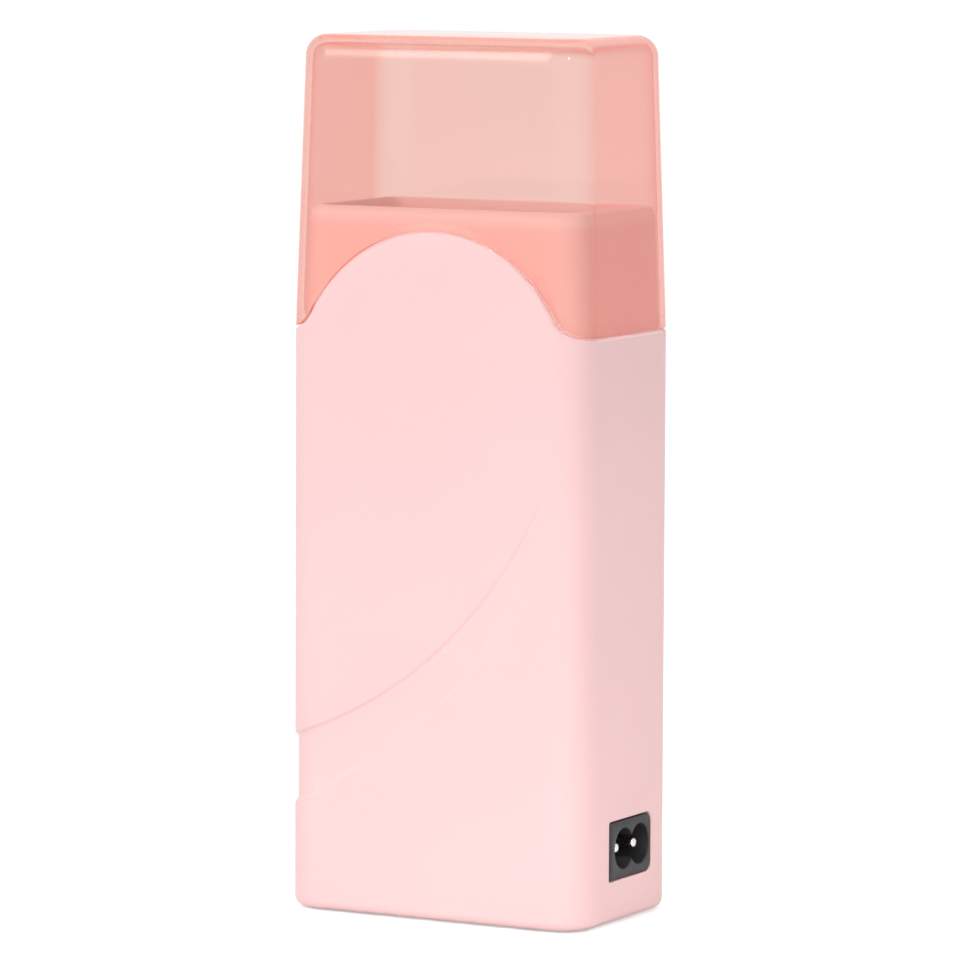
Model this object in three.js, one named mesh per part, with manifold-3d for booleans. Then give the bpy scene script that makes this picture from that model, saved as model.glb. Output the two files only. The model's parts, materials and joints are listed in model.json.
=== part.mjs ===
// Roll-on cartridge wax heater: a moulded housing round a heated aluminium well, under a clear lift-off cap.
// Millimetres. X runs to the right, Y to the back and Z up. The origin is the middle of the plane that the
// feet stand on.

import * as THREE from "three";
import { mergeVertices } from "three/addons/utils/BufferGeometryUtils.js";
import Module from "manifold-3d";

const wasm = await Module();
wasm.setup();

// Outer form of the closed heater, measured from the underside of its base
const bodyWidth = 73.5;
const bodyDepth = 46;
const closedHeight = 191.5;
const cornerRadius = 8;
const baseEdgeRadius = 2;
const capTopRadius = 4.5;
const seamHeight = 127.6;
const capDraftDegrees = 1.5;

// Clearances
const fitGap = 0.3;
const overrun = 1;

// The wave in the front edge of the shell: one dome that two fillets lead back to the seam
const domeCrestHeight = 149.7;
const waveSideInset = 0.67;
const waveFilletRadius = 7;

// The sunken band, which fades out at its tip and on the left side
const bandTipInset = 6.55;
const bandTipHeight = 101.2;
const bandUpperSideHeight = 37.6;
const bandLowerSideHeight = 22.9;
const bandUpperRadius = 101.5;
const bandLowerRadius = 106.2;
const bandDepth = 0.55;

// Shells
const shellWall = 2;
const shellFloor = 2.2;
const partingFromBack = 3.7;
const beadHeight = 119;
const beadThickness = 1.4;
const beadReach = 1;

// Cover lip, which seats inside the front shell, and the hooks at its sides
const lipReach = 2;
const lipThickness = 1.2;
const lipTopHeight = 98;
const hookHeight = 103;
const hookWidth = 7;
const hookReach = 8;
const hookThickness = 1.4;
const hookNib = 0.9;
const hookNibLength = 2;

// Screws of the cover and their bosses
const coverScrewInset = 12.75;
const coverScrewHeight = 33;
const screwBossDiameter = 7;
const screwShankDiameter = 2.4;
const screwLength = 14;
const screwHeadDiameter = 5;
const screwHeadThickness = 1.8;
const screwHeadSink = 0.7;

// Cap
const capWall = 2;
const capTopWall = 2.2;

// Neck collar
const neckTopHeight = 154.5;
const neckBottomHeight = 112;
const neckWall = 2.6;
const neckRimRadius = 2.3;
const neckFloor = 2;
const mouthChamfer = 1.2;

// Cartridge well
const wellSideInset = 8.25;
const wellFrontInset = 5.2;
const wellBackInset = 7.8;
const wellCornerRadius = 5;
const wellBottomHeight = 43;
const wellWall = 1;
const wellBottomRadius = 3;
const wellFlangeWidth = 1.5;

// Ribs of the front shell that carry the well
const ribThickness = 1.6;
const shelfRibSpacing = 24;
const shelfRibSetback = 7.2;
const shelfRibTipHeight = 3;
const shelfRibRootHeight = 21;
const sideRibSpacing = 9;
const sideRibTipHeight = 2;
const sideRibRootHeight = 8;
const sideRibGap = 0.6;

// Heater stack on the back of the well
const heaterDrop = 3.5;
const tabletWidth = 24;
const tabletLength = 15;
const tabletThickness = 2.1;
const tabletPitch = 19;
const holderWidth = 34;
const holderLength = 62;
const electrodeWidth = 28;
const electrodeLength = 58;
const electrodeThickness = 0.4;
const electrodeTabReach = 6;
const electrodeTabWidth = 3;
const electrodeTabInset = 6;
const insulationWidth = 36;
const insulationLength = 64;
const insulationThickness = 0.4;
const clampThickness = 0.8;
const clampWidth = 30;
const clampClipGap = 3.3;

// Thermostat, fuse and their clips on the sides of the well
const switchHeight = 67;
const thermostatThickness = 3.8;
const thermostatWidth = 7.6;
const thermostatLength = 18;
const terminalThickness = 0.5;
const terminalWidth = 3;
const terminalLength = 3;
const fuseDiameter = 3.6;
const fuseLength = 12;
const fuseWireDiameter = 1;
const fuseWireLength = 4;
const clipThickness = 0.6;
const clipWidth = 8;
const clipFootLength = 3;

// Mains inlet in the right side
const inletFromMiddle = 1.5;
const inletHeight = 15.7;
const inletFaceWidth = 19.6;
const inletFaceHeight = 12.5;
const inletFaceCornerRadius = 2;
const inletFaceSink = 0.05;
const inletBevelWidth = 1;
const inletBevelDepth = 0.4;
const socketFromFaceMiddle = 0.9;
const socketLobeRadius = 4.45;
const socketLobeSpacing = 7.4;
const socketDepth = 11;
const inletFlangeWidth = 1.5;
const inletFlangeThickness = 3;
const inletBodyWidth = 18.5;
const inletBodyHeight = 11.5;
const inletLength = 17;
const pinSpacing = 8.6;
const pinDiameter = 2.4;
const pinSink = 1.5;
const pinTailLength = 5;
const pinTailThickness = 0.8;

// Plate that holds the inlet, its two screws and their bosses
const bracketThickness = 1.5;
const bracketMargin = 1.6;
const bracketBossDiameter = 5;
const bracketScrewDiameter = 1.8;
const bracketScrewHeadDiameter = 4;
const bracketScrewHeadThickness = 1.4;
const bracketScrewBite = 3.6;

// Rubber feet
const footDiameter = 8;
const footSink = 1;
const footProud = 0.5;
const footSideInset = 9.75;
const footFrontInset = 10.5;

// Inner wiring: the leads, and how far their routes stay from what they pass
const leadDiameter = 1.8;
const baseRunStart = 10.25;
const baseRunDrop = 2.85;
const baseRunForward = 2.7;
const baseRunEndInset = 6.5;
const baseRunEndForward = 1.7;
const baseRunRiseBelowWell = 19;
const bendFromTail = 5.65;
const bendBehindPin = 3.55;
const bendAboveInlet = 4.15;
const climbBesideScrew = 13.8;
const climbBelowScrew = 2;
const climbBeforeWellBack = 2.6;
const crossBesideScrew = 7;
const crossAboveScrew = 5.6;
const crossBeforeWellBack = 3.2;
const landPastScrew = 3;
const landBehindMiddle = 7.3;
const landBelowWell = 3;

// Smoothness of round forms, as counts
const cornerSteps = 8;
const filletSteps = 4;
const arcSteps = 28;
const roundSides = 24;
const leadSides = 8;
const leadSteps = 30;

// Points closer than this are one point
const weldDistance = 1e-4;

// Places that follow from the sizes above
const halfWidth = bodyWidth / 2;
const halfDepth = bodyDepth / 2;
const partingY = halfDepth - partingFromBack;
const capSlope = Math.tan(THREE.MathUtils.degToRad(capDraftDegrees));
const waveHalfSpan = halfWidth - waveSideInset;
const waveRise = domeCrestHeight - seamHeight;
const domeRadius = (waveHalfSpan ** 2 + waveRise ** 2) / (2 * waveRise) - waveFilletRadius;
const bandTipX = halfWidth - bandTipInset;
const neckInset = capWall + fitGap;
const wellHalfWidth = halfWidth - wellSideInset;
const wellFrontY = -halfDepth + wellFrontInset;
const wellBackY = halfDepth - wellBackInset;
const wellDepth = wellBackY - wellFrontY;
const heaterHeight = (wellBottomHeight + neckBottomHeight) / 2 - heaterDrop;
const wellMiddleY = (wellFrontY + wellBackY) / 2;
const wellSideX = wellHalfWidth + wellWall;
const stackY = wellBackY + wellWall;
const innerSideX = halfWidth - shellWall;
const innerFrontY = -halfDepth + shellWall;
const innerBackY = halfDepth - shellWall;
const inletFaceX = halfWidth - inletFaceSink;
const socketY = inletFromMiddle + socketFromFaceMiddle;
const footX = halfWidth - footSideInset;
const footY = halfDepth - footFrontInset;

// Helpers for solids

/** A manifold solid made from a three.js geometry. */
function solid(geometry) {
  const bare = geometry.clone();
  for (const name of Object.keys(bare.attributes)) {
    if (name !== "position") bare.deleteAttribute(name);
  }
  const merged = mergeVertices(bare, weldDistance);
  return new wasm.Manifold(
    new wasm.Mesh({
      numProp: 3,
      vertProperties: new Float32Array(merged.attributes.position.array),
      triVerts: new Uint32Array(merged.index.array),
    }),
  );
}

/** The three.js geometry of a manifold solid. */
function geometryOf(body) {
  const mesh = body.getMesh();
  const geometry = new THREE.BufferGeometry();
  geometry.setAttribute("position", new THREE.BufferAttribute(mesh.vertProperties, 3));
  geometry.setIndex(new THREE.BufferAttribute(mesh.triVerts, 1));
  return geometry;
}

/** All the solids of a list joined into one. */
function join(bodies) {
  return bodies.reduce((sum, body) => sum.add(body));
}

/** A block between two corners. */
function block(x0, x1, y0, y1, z0, z1) {
  const geometry = new THREE.BoxGeometry(x1 - x0, y1 - y0, z1 - z0);
  geometry.translate((x0 + x1) / 2, (y0 + y1) / 2, (z0 + z1) / 2);
  return solid(geometry);
}

/** A shape extruded along an axis, its x and y along the other two. Each arc in it gets a count of sides. */
function prism(shape, axis, from, to, arcSides = filletSteps) {
  const geometry = new THREE.ExtrudeGeometry(shape, {
    depth: to - from,
    bevelEnabled: false,
    curveSegments: arcSides / 2,
  });
  const x = new THREE.Vector3(1, 0, 0);
  const y = new THREE.Vector3(0, 1, 0);
  const z = new THREE.Vector3(0, 0, 1);
  const turn = new THREE.Matrix4();
  if (axis === "x") turn.makeBasis(y, z, x).setPosition(from, 0, 0);
  if (axis === "y") turn.makeBasis(x, z, y.negate()).setPosition(0, to, 0);
  if (axis === "z") turn.setPosition(0, 0, from);
  return solid(geometry.applyMatrix4(turn));
}

/** A round bar along an axis, centred at (a, b) in the other two. */
function rod(diameter, axis, from, to, a, b, sides = roundSides) {
  const circle = new THREE.Shape();
  circle.absarc(a, b, diameter / 2, 0, 2 * Math.PI);
  return prism(circle, axis, from, to, sides);
}

/** A rectangle with equal round corners, as a shape centred at (a, b). */
function roundedRectangle(width, height, radius, a = 0, b = 0) {
  const shape = new THREE.Shape();
  const w = width / 2 - radius;
  const h = height / 2 - radius;
  shape.absarc(a + w, b - h, radius, -Math.PI / 2, 0);
  shape.absarc(a + w, b + h, radius, 0, Math.PI / 2);
  shape.absarc(a - w, b + h, radius, Math.PI / 2, Math.PI);
  shape.absarc(a - w, b - h, radius, Math.PI, 1.5 * Math.PI);
  return shape;
}

/** The corner points of a rounded rectangle, in order round it. */
function ringPoints(section) {
  const points = [];
  const { halfX, halfY, radius, z } = section;
  for (let corner = 0; corner < 4; corner += 1) {
    const signX = corner === 0 || corner === 3 ? 1 : -1;
    const signY = corner < 2 ? 1 : -1;
    for (let step = 0; step <= cornerSteps; step += 1) {
      const angle = (Math.PI / 2) * (corner + step / cornerSteps);
      points.push(
        signX * (halfX - radius) + radius * Math.cos(angle),
        signY * (halfY - radius) + radius * Math.sin(angle),
        z,
      );
    }
  }
  return points;
}

/** A solid through a stack of rounded rectangles, lowest first, closed at both ends. */
function loft(sections) {
  const count = 4 * (cornerSteps + 1);
  const positions = sections.flatMap(ringPoints);
  const low = sections.length * count;
  const high = low + 1;
  positions.push(0, 0, sections[0].z, 0, 0, sections[sections.length - 1].z);
  const index = [];
  for (let point = 0; point < count; point += 1) {
    const next = (point + 1) % count;
    index.push(low, next, point);
    for (let ring = 0; ring + 1 < sections.length; ring += 1) {
      const a = ring * count + point;
      const b = ring * count + next;
      index.push(a, b, b + count, a, b + count, a + count);
    }
    const last = (sections.length - 1) * count;
    index.push(high, last + point, last + next);
  }
  const geometry = new THREE.BufferGeometry();
  geometry.setAttribute("position", new THREE.Float32BufferAttribute(positions, 3));
  geometry.setIndex(index);
  return solid(geometry);
}

/** The outer form drawn in by an inset, from one height to another, with rounded ends where asked. */
function envelope(inset, bottom, top, bottomRadius = 0, topRadius = 0) {
  const sections = [];
  const add = (z, shrink) => {
    const draft = Math.max(0, z - seamHeight) * capSlope;
    const drawnIn = inset + shrink + draft;
    sections.push({
      z,
      halfX: halfWidth - drawnIn,
      halfY: halfDepth - drawnIn,
      radius: cornerRadius - inset - shrink,
    });
  };
  const lowSteps = bottomRadius > 0 ? filletSteps : 0;
  for (let step = 0; step <= lowSteps; step += 1) {
    const angle = lowSteps ? (Math.PI / 2) * (step / lowSteps) : 0;
    add(bottom + bottomRadius * (1 - Math.cos(angle)), bottomRadius * (1 - Math.sin(angle)));
  }
  if (bottom + bottomRadius < seamHeight && seamHeight < top - topRadius) add(seamHeight, 0);
  const topSteps = topRadius > 0 ? filletSteps : 0;
  for (let step = 0; step <= topSteps; step += 1) {
    const angle = topSteps ? (Math.PI / 2) * (step / topSteps) : 0;
    add(top - topRadius * (1 - Math.sin(angle)), topRadius * (1 - Math.cos(angle)));
  }
  return loft(sections);
}

/** A band between two insets of the outer form. */
function ring(outerInset, innerInset, bottom, top) {
  const core = envelope(innerInset, bottom - overrun, top + overrun);
  return envelope(outerInset, bottom, top).subtract(core);
}

/** The part of space in front of a plane across Y. */
function inFrontOf(y) {
  return block(-bodyWidth, bodyWidth, -bodyDepth, y, -overrun, closedHeight + overrun);
}

/** The part of space behind a plane across Y. */
function behind(y) {
  return block(-bodyWidth, bodyWidth, y, bodyDepth, -overrun, closedHeight + overrun);
}

/** Everything below the edge of the shell: the level seam, and the wave that rises from it in front. */
function belowEdge(offset) {
  const edge = seamHeight + offset;
  const filletRadius = waveFilletRadius - offset;
  const domeCentre = domeCrestHeight - domeRadius;
  const filletCentre = seamHeight + waveFilletRadius;
  const rise = filletCentre - domeCentre;
  const span = Math.sqrt((domeRadius + waveFilletRadius) ** 2 - rise ** 2);
  const tangent = Math.atan2(rise, span);
  const wave = new THREE.Shape();
  wave.absarc(-span, filletCentre, filletRadius, -Math.PI / 2, -tangent);
  wave.absarc(0, domeCentre, domeRadius + offset, Math.PI - tangent, tangent, true);
  wave.absarc(span, filletCentre, filletRadius, Math.PI + tangent, 1.5 * Math.PI);
  wave.lineTo(bodyWidth, edge);
  wave.lineTo(bodyWidth, -overrun);
  wave.lineTo(-bodyWidth, -overrun);
  wave.lineTo(-bodyWidth, edge);
  const front = prism(wave, "y", -bodyDepth, cornerRadius - halfDepth, arcSteps);
  return front.add(block(-bodyWidth, bodyWidth, -bodyDepth, bodyDepth, -overrun, edge));
}

/** The centre of the circle of a given radius through two points, on the upper left of their line. */
function arcCentre(left, right, radius) {
  const middle = left.clone().add(right).divideScalar(2);
  const along = right.clone().sub(left);
  const reach = Math.sqrt(radius ** 2 - along.lengthSq() / 4);
  const normal = new THREE.Vector2(-along.y, along.x).normalize();
  return middle.addScaledVector(normal, reach);
}

/** The outline of the sunken band, seen from the front: two arcs that meet at its tip. */
function bandOutline() {
  const tip = new THREE.Vector2(bandTipX, bandTipHeight);
  const lowEnd = new THREE.Vector2(-halfWidth, bandLowerSideHeight);
  const highEnd = new THREE.Vector2(-halfWidth, bandUpperSideHeight);
  const low = arcCentre(lowEnd, tip, bandLowerRadius);
  const high = arcCentre(highEnd, tip, bandUpperRadius);
  const angle = (point, centre) => Math.atan2(point.y - centre.y, point.x - centre.x);
  const outline = new THREE.Shape();
  outline.absarc(low.x, low.y, bandLowerRadius, angle(lowEnd, low), angle(tip, low));
  outline.absarc(high.x, high.y, bandUpperRadius, angle(tip, high), angle(highEnd, high), true);
  outline.lineTo(highEnd.x - overrun, highEnd.y);
  outline.lineTo(lowEnd.x - overrun, lowEnd.y);
  return outline;
}

/** The floor of the band in plan: deepest at the left front corner, level with the shell at its two ends. */
function bandFloor() {
  const tip = new THREE.Vector2(bandTipX, -halfDepth);
  const corner = new THREE.Vector2(-halfWidth + bandDepth, -halfDepth + bandDepth);
  const sideEnd = new THREE.Vector2(-halfWidth, halfDepth - cornerRadius);
  const u = tip.clone().sub(corner).normalize();
  const v = sideEnd.clone().sub(corner).normalize();
  const half = Math.acos(u.dot(v)) / 2;
  const centre = corner.clone().addScaledVector(u.clone().add(v).normalize(), cornerRadius / Math.sin(half));
  const floor = new THREE.Shape();
  floor.absarc(centre.x, centre.y, cornerRadius, v.angle() + Math.PI / 2, u.angle() - Math.PI / 2);
  floor.lineTo(tip.x, tip.y);
  floor.lineTo(tip.x, sideEnd.y);
  floor.lineTo(sideEnd.x, sideEnd.y);
  return prism(floor, "z", -overrun, closedHeight, cornerSteps);
}

/** What the sunken band takes from the front shell. */
function bandCut() {
  const slab = prism(bandOutline(), "y", -halfDepth - overrun, halfDepth - cornerRadius, arcSteps);
  return slab.subtract(bandFloor());
}

/** A thin plate with straight edges: corner points in the two axes across its thickness. */
function plate(points, axis, middle, thickness) {
  const shape = new THREE.Shape(points.map(([a, b]) => new THREE.Vector2(a, b)));
  return prism(shape, axis, middle - thickness / 2, middle + thickness / 2);
}

// Housing

const bossEndY = partingY - lipReach;
const screwSeatY = halfDepth - screwHeadSink - screwHeadThickness;
const screwHole = screwShankDiameter + 2 * fitGap;
const coverScrewX = halfWidth - coverScrewInset;
const tongueInnerX = wellSideX + clampThickness + fitGap;
const flangeUnderside = neckBottomHeight - wellWall;
const inletBackX = inletFaceX - inletLength;
const inletFlangeX = innerSideX - inletFlangeThickness;
const bracketX = inletFlangeX - bracketThickness;
const bracketReach = inletFaceHeight / 2 + inletFlangeWidth + fitGap + bracketBossDiameter / 2;
const bracketScrewEndX = inletFlangeX + bracketScrewBite;

/** The whole hollow housing, with the inner bead that holds the collar, before it is parted. */
function housing() {
  const outer = envelope(0, 0, closedHeight, baseEdgeRadius).intersect(belowEdge(0));
  const hollow = envelope(shellWall, shellFloor, closedHeight + overrun);
  const low = beadHeight - beadThickness / 2;
  const bead = ring(shellWall / 2, shellWall + beadReach, low, low + beadThickness);
  return outer.subtract(hollow).add(bead);
}

/** The face of the inlet seen from the right, with its two rear corners round, grown all round. */
function inletOutline(grow) {
  const w = inletFaceWidth / 2 + grow;
  const h = inletFaceHeight / 2 + grow;
  const radius = inletFaceCornerRadius + grow;
  const outline = new THREE.Shape();
  outline.absarc(inletFromMiddle + w - radius, inletHeight - h + radius, radius, -Math.PI / 2, 0);
  outline.absarc(inletFromMiddle + w - radius, inletHeight + h - radius, radius, 0, Math.PI / 2);
  outline.lineTo(inletFromMiddle - w, inletHeight + h);
  outline.lineTo(inletFromMiddle - w, inletHeight - h);
  return outline;
}

/** The gussets of the front wall that the bottom of the well stands on. */
function shelfRib(side) {
  const root = innerFrontY - shellWall / 2;
  const tip = wellBackY - shelfRibSetback;
  const corners = [
    [root, wellBottomHeight],
    [root, wellBottomHeight - shelfRibRootHeight],
    [tip, wellBottomHeight - shelfRibTipHeight],
    [tip, wellBottomHeight],
  ];
  return plate(corners, "x", (side * shelfRibSpacing) / 2, ribThickness);
}

/** The gussets of the side walls that the flange of the well rests on. */
function sideRibs(side) {
  const root = side * (innerSideX + shellWall / 2);
  const tip = side * (wellSideX + sideRibGap);
  const corners = [
    [root, flangeUnderside],
    [tip, flangeUnderside],
    [tip, flangeUnderside - sideRibTipHeight],
    [root, flangeUnderside - sideRibRootHeight],
  ];
  return [-1, 0, 1].map((place) => plate(corners, "y", place * sideRibSpacing, ribThickness));
}

/** The long boss that takes a screw of the cover, without its hole. */
function screwBoss(side) {
  const rootY = innerFrontY - shellWall / 2;
  return rod(screwBossDiameter, "y", rootY, bossEndY - fitGap, side * coverScrewX, coverScrewHeight);
}

/** The pocket in the side walls that the nib of a cover hook springs into. */
function hookPockets() {
  const y = partingY - hookReach - fitGap;
  const reach = hookWidth / 2 + fitGap;
  return ring(shellWall - hookNib, shellWall + overrun, hookHeight - reach, hookHeight + reach)
    .intersect(behind(y))
    .intersect(inFrontOf(y + hookNibLength + 2 * fitGap));
}

/** The places of the four feet in plan. */
const footPlaces = [-1, 1].flatMap((back) => [-1, 1].map((side) => [side, back]));

/** Front, sides and base of the housing, in one moulding. */
function frontShell() {
  const solids = [housing().intersect(inFrontOf(partingY))];
  const holes = [bandCut(), hookPockets()];
  for (const side of [-1, 1]) {
    solids.push(screwBoss(side), shelfRib(side), ...sideRibs(side));
    const holeEnd = screwSeatY - screwLength - fitGap;
    holes.push(rod(screwHole, "y", holeEnd, bossEndY + overrun, side * coverScrewX, coverScrewHeight));
  }
  for (const way of [-1, 1]) {
    const z = inletHeight + way * bracketReach;
    const boss = innerSideX + shellWall / 2;
    const hole = bracketScrewDiameter + 2 * fitGap;
    solids.push(rod(bracketBossDiameter, "x", inletFlangeX, boss, socketY, z));
    holes.push(rod(hole, "x", inletFlangeX - overrun, bracketScrewEndX + fitGap, socketY, z));
  }
  holes.push(prism(inletOutline(fitGap), "x", innerSideX - overrun, halfWidth + overrun));
  for (const [side, back] of footPlaces) {
    const x = side * footX;
    const y = back * footY;
    holes.push(rod(footDiameter + 2 * fitGap, "z", -overrun, footSink, x, y));
  }
  return join(solids).subtract(join(holes));
}

/** A tongue of the cover that slides along the inner side walls of the front shell. */
function tongue(bottom, top, reach, thickness) {
  const innerInset = shellWall + fitGap + thickness;
  const middle = block(-tongueInnerX, tongueInnerX, -bodyDepth, bodyDepth, bottom - overrun, top + overrun);
  const arm = ring(shellWall + fitGap, innerInset, bottom, top).intersect(behind(partingY - reach));
  const root = ring(shellWall / 2, innerInset, bottom, top).intersect(behind(partingY + fitGap));
  return arm.add(root).subtract(middle);
}

/** The two side hooks of the cover, each with a nib that springs into the front shell. */
function hooks() {
  const low = hookHeight - hookWidth / 2;
  const high = hookHeight + hookWidth / 2;
  const tipY = partingY - hookReach;
  const nib = ring(shellWall + fitGap - hookNib, shellWall + fitGap + hookThickness / 2, low, high)
    .intersect(behind(tipY))
    .intersect(inFrontOf(tipY + hookNibLength));
  return tongue(low, high, hookReach, hookThickness).add(nib);
}

/** The back wall of the housing, which closes the front shell. */
function rearCover() {
  const solids = [housing().intersect(behind(partingY + fitGap)), hooks()];
  solids.push(tongue(shellFloor + fitGap, lipTopHeight, lipReach, lipThickness));
  const holes = [];
  const headHole = screwHeadDiameter + 2 * fitGap;
  for (const side of [-1, 1]) {
    const x = side * coverScrewX;
    solids.push(rod(screwBossDiameter, "y", bossEndY, innerBackY + shellWall / 2, x, coverScrewHeight));
    holes.push(rod(screwHole, "y", bossEndY - overrun, halfDepth, x, coverScrewHeight));
    holes.push(rod(headHole, "y", screwSeatY, halfDepth + overrun, x, coverScrewHeight));
  }
  return join(solids).subtract(join(holes));
}

/** A screw of the cover, driven in from behind. */
function coverScrew(side) {
  const x = side * coverScrewX;
  const head = rod(screwHeadDiameter, "y", screwSeatY, screwSeatY + screwHeadThickness, x, coverScrewHeight);
  const shankStart = screwSeatY - screwLength;
  const shankEnd = screwSeatY + screwHeadThickness / 2;
  return head.add(rod(screwShankDiameter, "y", shankStart, shankEnd, x, coverScrewHeight));
}

/** A rubber foot, pressed into its pocket in the base. */
function foot([side, back]) {
  return rod(footDiameter, "z", -footProud, footSink, side * footX, back * footY);
}

// Cap and cartridge chamber

/** The clear cover: the upper part of the outer form, hollow, with the wave cut out of its front. */
function cap() {
  const outer = envelope(0, seamHeight - overrun, closedHeight, 0, capTopRadius);
  const hollow = envelope(capWall, -overrun, closedHeight - capTopWall, 0, capTopRadius - capWall);
  return outer.subtract(hollow).subtract(belowEdge(fitGap));
}

/** A rounded box round the middle of the well, grown all round, with a round bottom edge. */
function wellForm(grow, bottom, top, edgeRadius = 0) {
  const sections = [];
  const steps = edgeRadius > 0 ? filletSteps : 0;
  for (let step = 0; step <= steps; step += 1) {
    const angle = steps ? (Math.PI / 2) * (step / steps) : 0;
    const shrink = edgeRadius * (1 - Math.sin(angle));
    sections.push({
      z: bottom + edgeRadius * (1 - Math.cos(angle)),
      halfX: wellHalfWidth + grow - shrink,
      halfY: wellDepth / 2 + grow - shrink,
      radius: wellCornerRadius + grow - shrink,
    });
  }
  const last = sections[sections.length - 1];
  return loft([...sections, { ...last, z: top }]).translate([0, wellMiddleY, 0]);
}

/** The pink neck: a sleeve with a round rim, and a floor with the mouth of the well in it. */
function neckCollar() {
  const floorTop = neckBottomHeight + neckFloor;
  const outer = envelope(neckInset, neckBottomHeight, neckTopHeight, 0, neckRimRadius);
  const pocket = envelope(neckInset + neckWall, floorTop, neckTopHeight + overrun);
  const mouth = wellForm(0, neckBottomHeight - overrun, floorTop + overrun);
  const reach = beadThickness / 2 + fitGap;
  const groove = ring(-overrun, shellWall + beadReach + fitGap, beadHeight - reach, beadHeight + reach);
  return outer.subtract(join([pocket, mouth, mouthLead(floorTop), groove]));
}

/** The slope that leads a cartridge into the mouth of the well. */
function mouthLead(floorTop) {
  const section = (grow, z) => ({
    z,
    halfX: wellHalfWidth + grow,
    halfY: wellDepth / 2 + grow,
    radius: wellCornerRadius + grow,
  });
  const slope = [section(0, floorTop - mouthChamfer), section(mouthChamfer, floorTop)];
  return loft([...slope, section(mouthChamfer, floorTop + overrun)]).translate([0, wellMiddleY, 0]);
}

/** The drawn aluminium well, hung by its flange under the collar. */
function cartridgeWell() {
  const sleeve = wellForm(wellWall, wellBottomHeight, neckBottomHeight, wellBottomRadius);
  const flange = wellForm(wellWall + wellFlangeWidth, flangeUnderside, neckBottomHeight);
  const innerRadius = wellBottomRadius - wellWall;
  const inside = wellForm(0, wellBottomHeight + wellWall, neckBottomHeight + overrun, innerRadius);
  return sleeve.add(flange).subtract(inside);
}

// Heater stack, from the well to the back

const insulationFrontY = stackY;
const electrodeFrontY = insulationFrontY + insulationThickness;
const holderY = electrodeFrontY + electrodeThickness;
const electrodeRearY = holderY + tabletThickness;
const insulationRearY = electrodeRearY + electrodeThickness;
const clampY = insulationRearY + insulationThickness;
const electrodeTabHeight = heaterHeight + electrodeLength / 2 - electrodeTabInset;

/** A sheet of the heater stack, about its middle in X and Z. */
function sheet(width, length, y, thickness, height = heaterHeight) {
  return block(-width / 2, width / 2, y, y + thickness, height - length / 2, height + length / 2);
}

/** A mica sheet of the heater stack. */
function insulation(y) {
  return sheet(insulationWidth, insulationLength, y, insulationThickness);
}

/** A contact sheet with its side tab. */
function electrode(y, side) {
  const edge = (side * electrodeWidth) / 2;
  const tip = edge + side * electrodeTabReach;
  const low = electrodeTabHeight - electrodeTabWidth / 2;
  const x0 = Math.min(edge - side * electrodeThickness, tip);
  const x1 = Math.max(edge - side * electrodeThickness, tip);
  const tab = block(x0, x1, y, y + electrodeThickness, low, low + electrodeTabWidth);
  return sheet(electrodeWidth, electrodeLength, y, electrodeThickness).add(tab);
}

/** The frame that keeps the tablets apart, with a window for each. */
function ptcHolder() {
  const frame = sheet(holderWidth, holderLength, holderY, tabletThickness);
  const windows = [-1, 0, 1].map((place) =>
    sheet(
      tabletWidth + 2 * fitGap,
      tabletLength + 2 * fitGap,
      holderY - overrun,
      tabletThickness + 2 * overrun,
      heaterHeight + place * tabletPitch,
    ),
  );
  return frame.subtract(join(windows));
}

/** A heating tablet in its window. */
function ptcTablet(place) {
  return sheet(tabletWidth, tabletLength, holderY, tabletThickness, heaterHeight + place * tabletPitch);
}

const clipReach = thermostatWidth / 2 + fitGap + clipThickness + clipFootLength;

/** The spring strap over the stack, with a leg along each side of the well that ends behind the clips. */
function heaterClamp() {
  const outerX = wellSideX + clampThickness;
  const back = clampY + clampThickness;
  const low = heaterHeight - clampWidth / 2;
  const high = heaterHeight + clampWidth / 2;
  const outer = block(-outerX, outerX, wellMiddleY + clipReach + clampClipGap, back, low, high);
  return outer.subtract(block(-wellSideX, wellSideX, -bodyDepth, clampY, low - overrun, high + overrun));
}

// Thermostat and fuse, on the left and right sides of the well

const fuseX = wellSideX + fitGap + fuseDiameter / 2;
const thermostatX = -wellSideX - thermostatThickness / 2;
const thermostatEnd = thermostatLength / 2 + terminalLength;
const fuseEnd = fuseLength / 2 + fuseWireLength;

/** The bimetal switch with its two terminals. */
function thermostat() {
  const half = thermostatThickness / 2;
  const y = thermostatWidth / 2;
  const z = thermostatLength / 2;
  const t = terminalThickness / 2;
  const w = terminalWidth / 2;
  const body = block(-half, half, -y, y, -z, z);
  const terminals = block(-t, t, -w, w, -thermostatEnd, thermostatEnd);
  return body.add(terminals).translate([thermostatX, wellMiddleY, switchHeight]);
}

/** The thermal fuse with its two wire ends. */
function thermalFuse() {
  const low = switchHeight - fuseLength / 2;
  const wireLow = switchHeight - fuseEnd;
  const wireHigh = switchHeight + fuseEnd;
  const body = rod(fuseDiameter, "z", low, low + fuseLength, fuseX, wellMiddleY);
  return body.add(rod(fuseWireDiameter, "z", wireLow, wireHigh, fuseX, wellMiddleY, leadSides));
}

/** A hat-shaped clip on a side of the well, over a piece of a given depth and width. */
function clip(side, depth, width) {
  const innerX = wellSideX + depth + fitGap;
  const innerY = width / 2 + fitGap;
  const outerY = innerY + clipThickness;
  const z = clipWidth / 2;
  const hat = block(wellSideX, innerX + clipThickness, -outerY, outerY, -z, z);
  const footEnd = outerY + clipFootLength;
  const feet = block(wellSideX, wellSideX + clipThickness, -footEnd, footEnd, -z, z);
  const room = block(wellSideX - overrun, innerX, -innerY, innerY, -z - overrun, z + overrun);
  const right = hat.add(feet).subtract(room);
  const placed = side > 0 ? right : right.mirror([1, 0, 0]);
  return placed.translate([0, wellMiddleY, switchHeight]);
}

// Inlet

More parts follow.
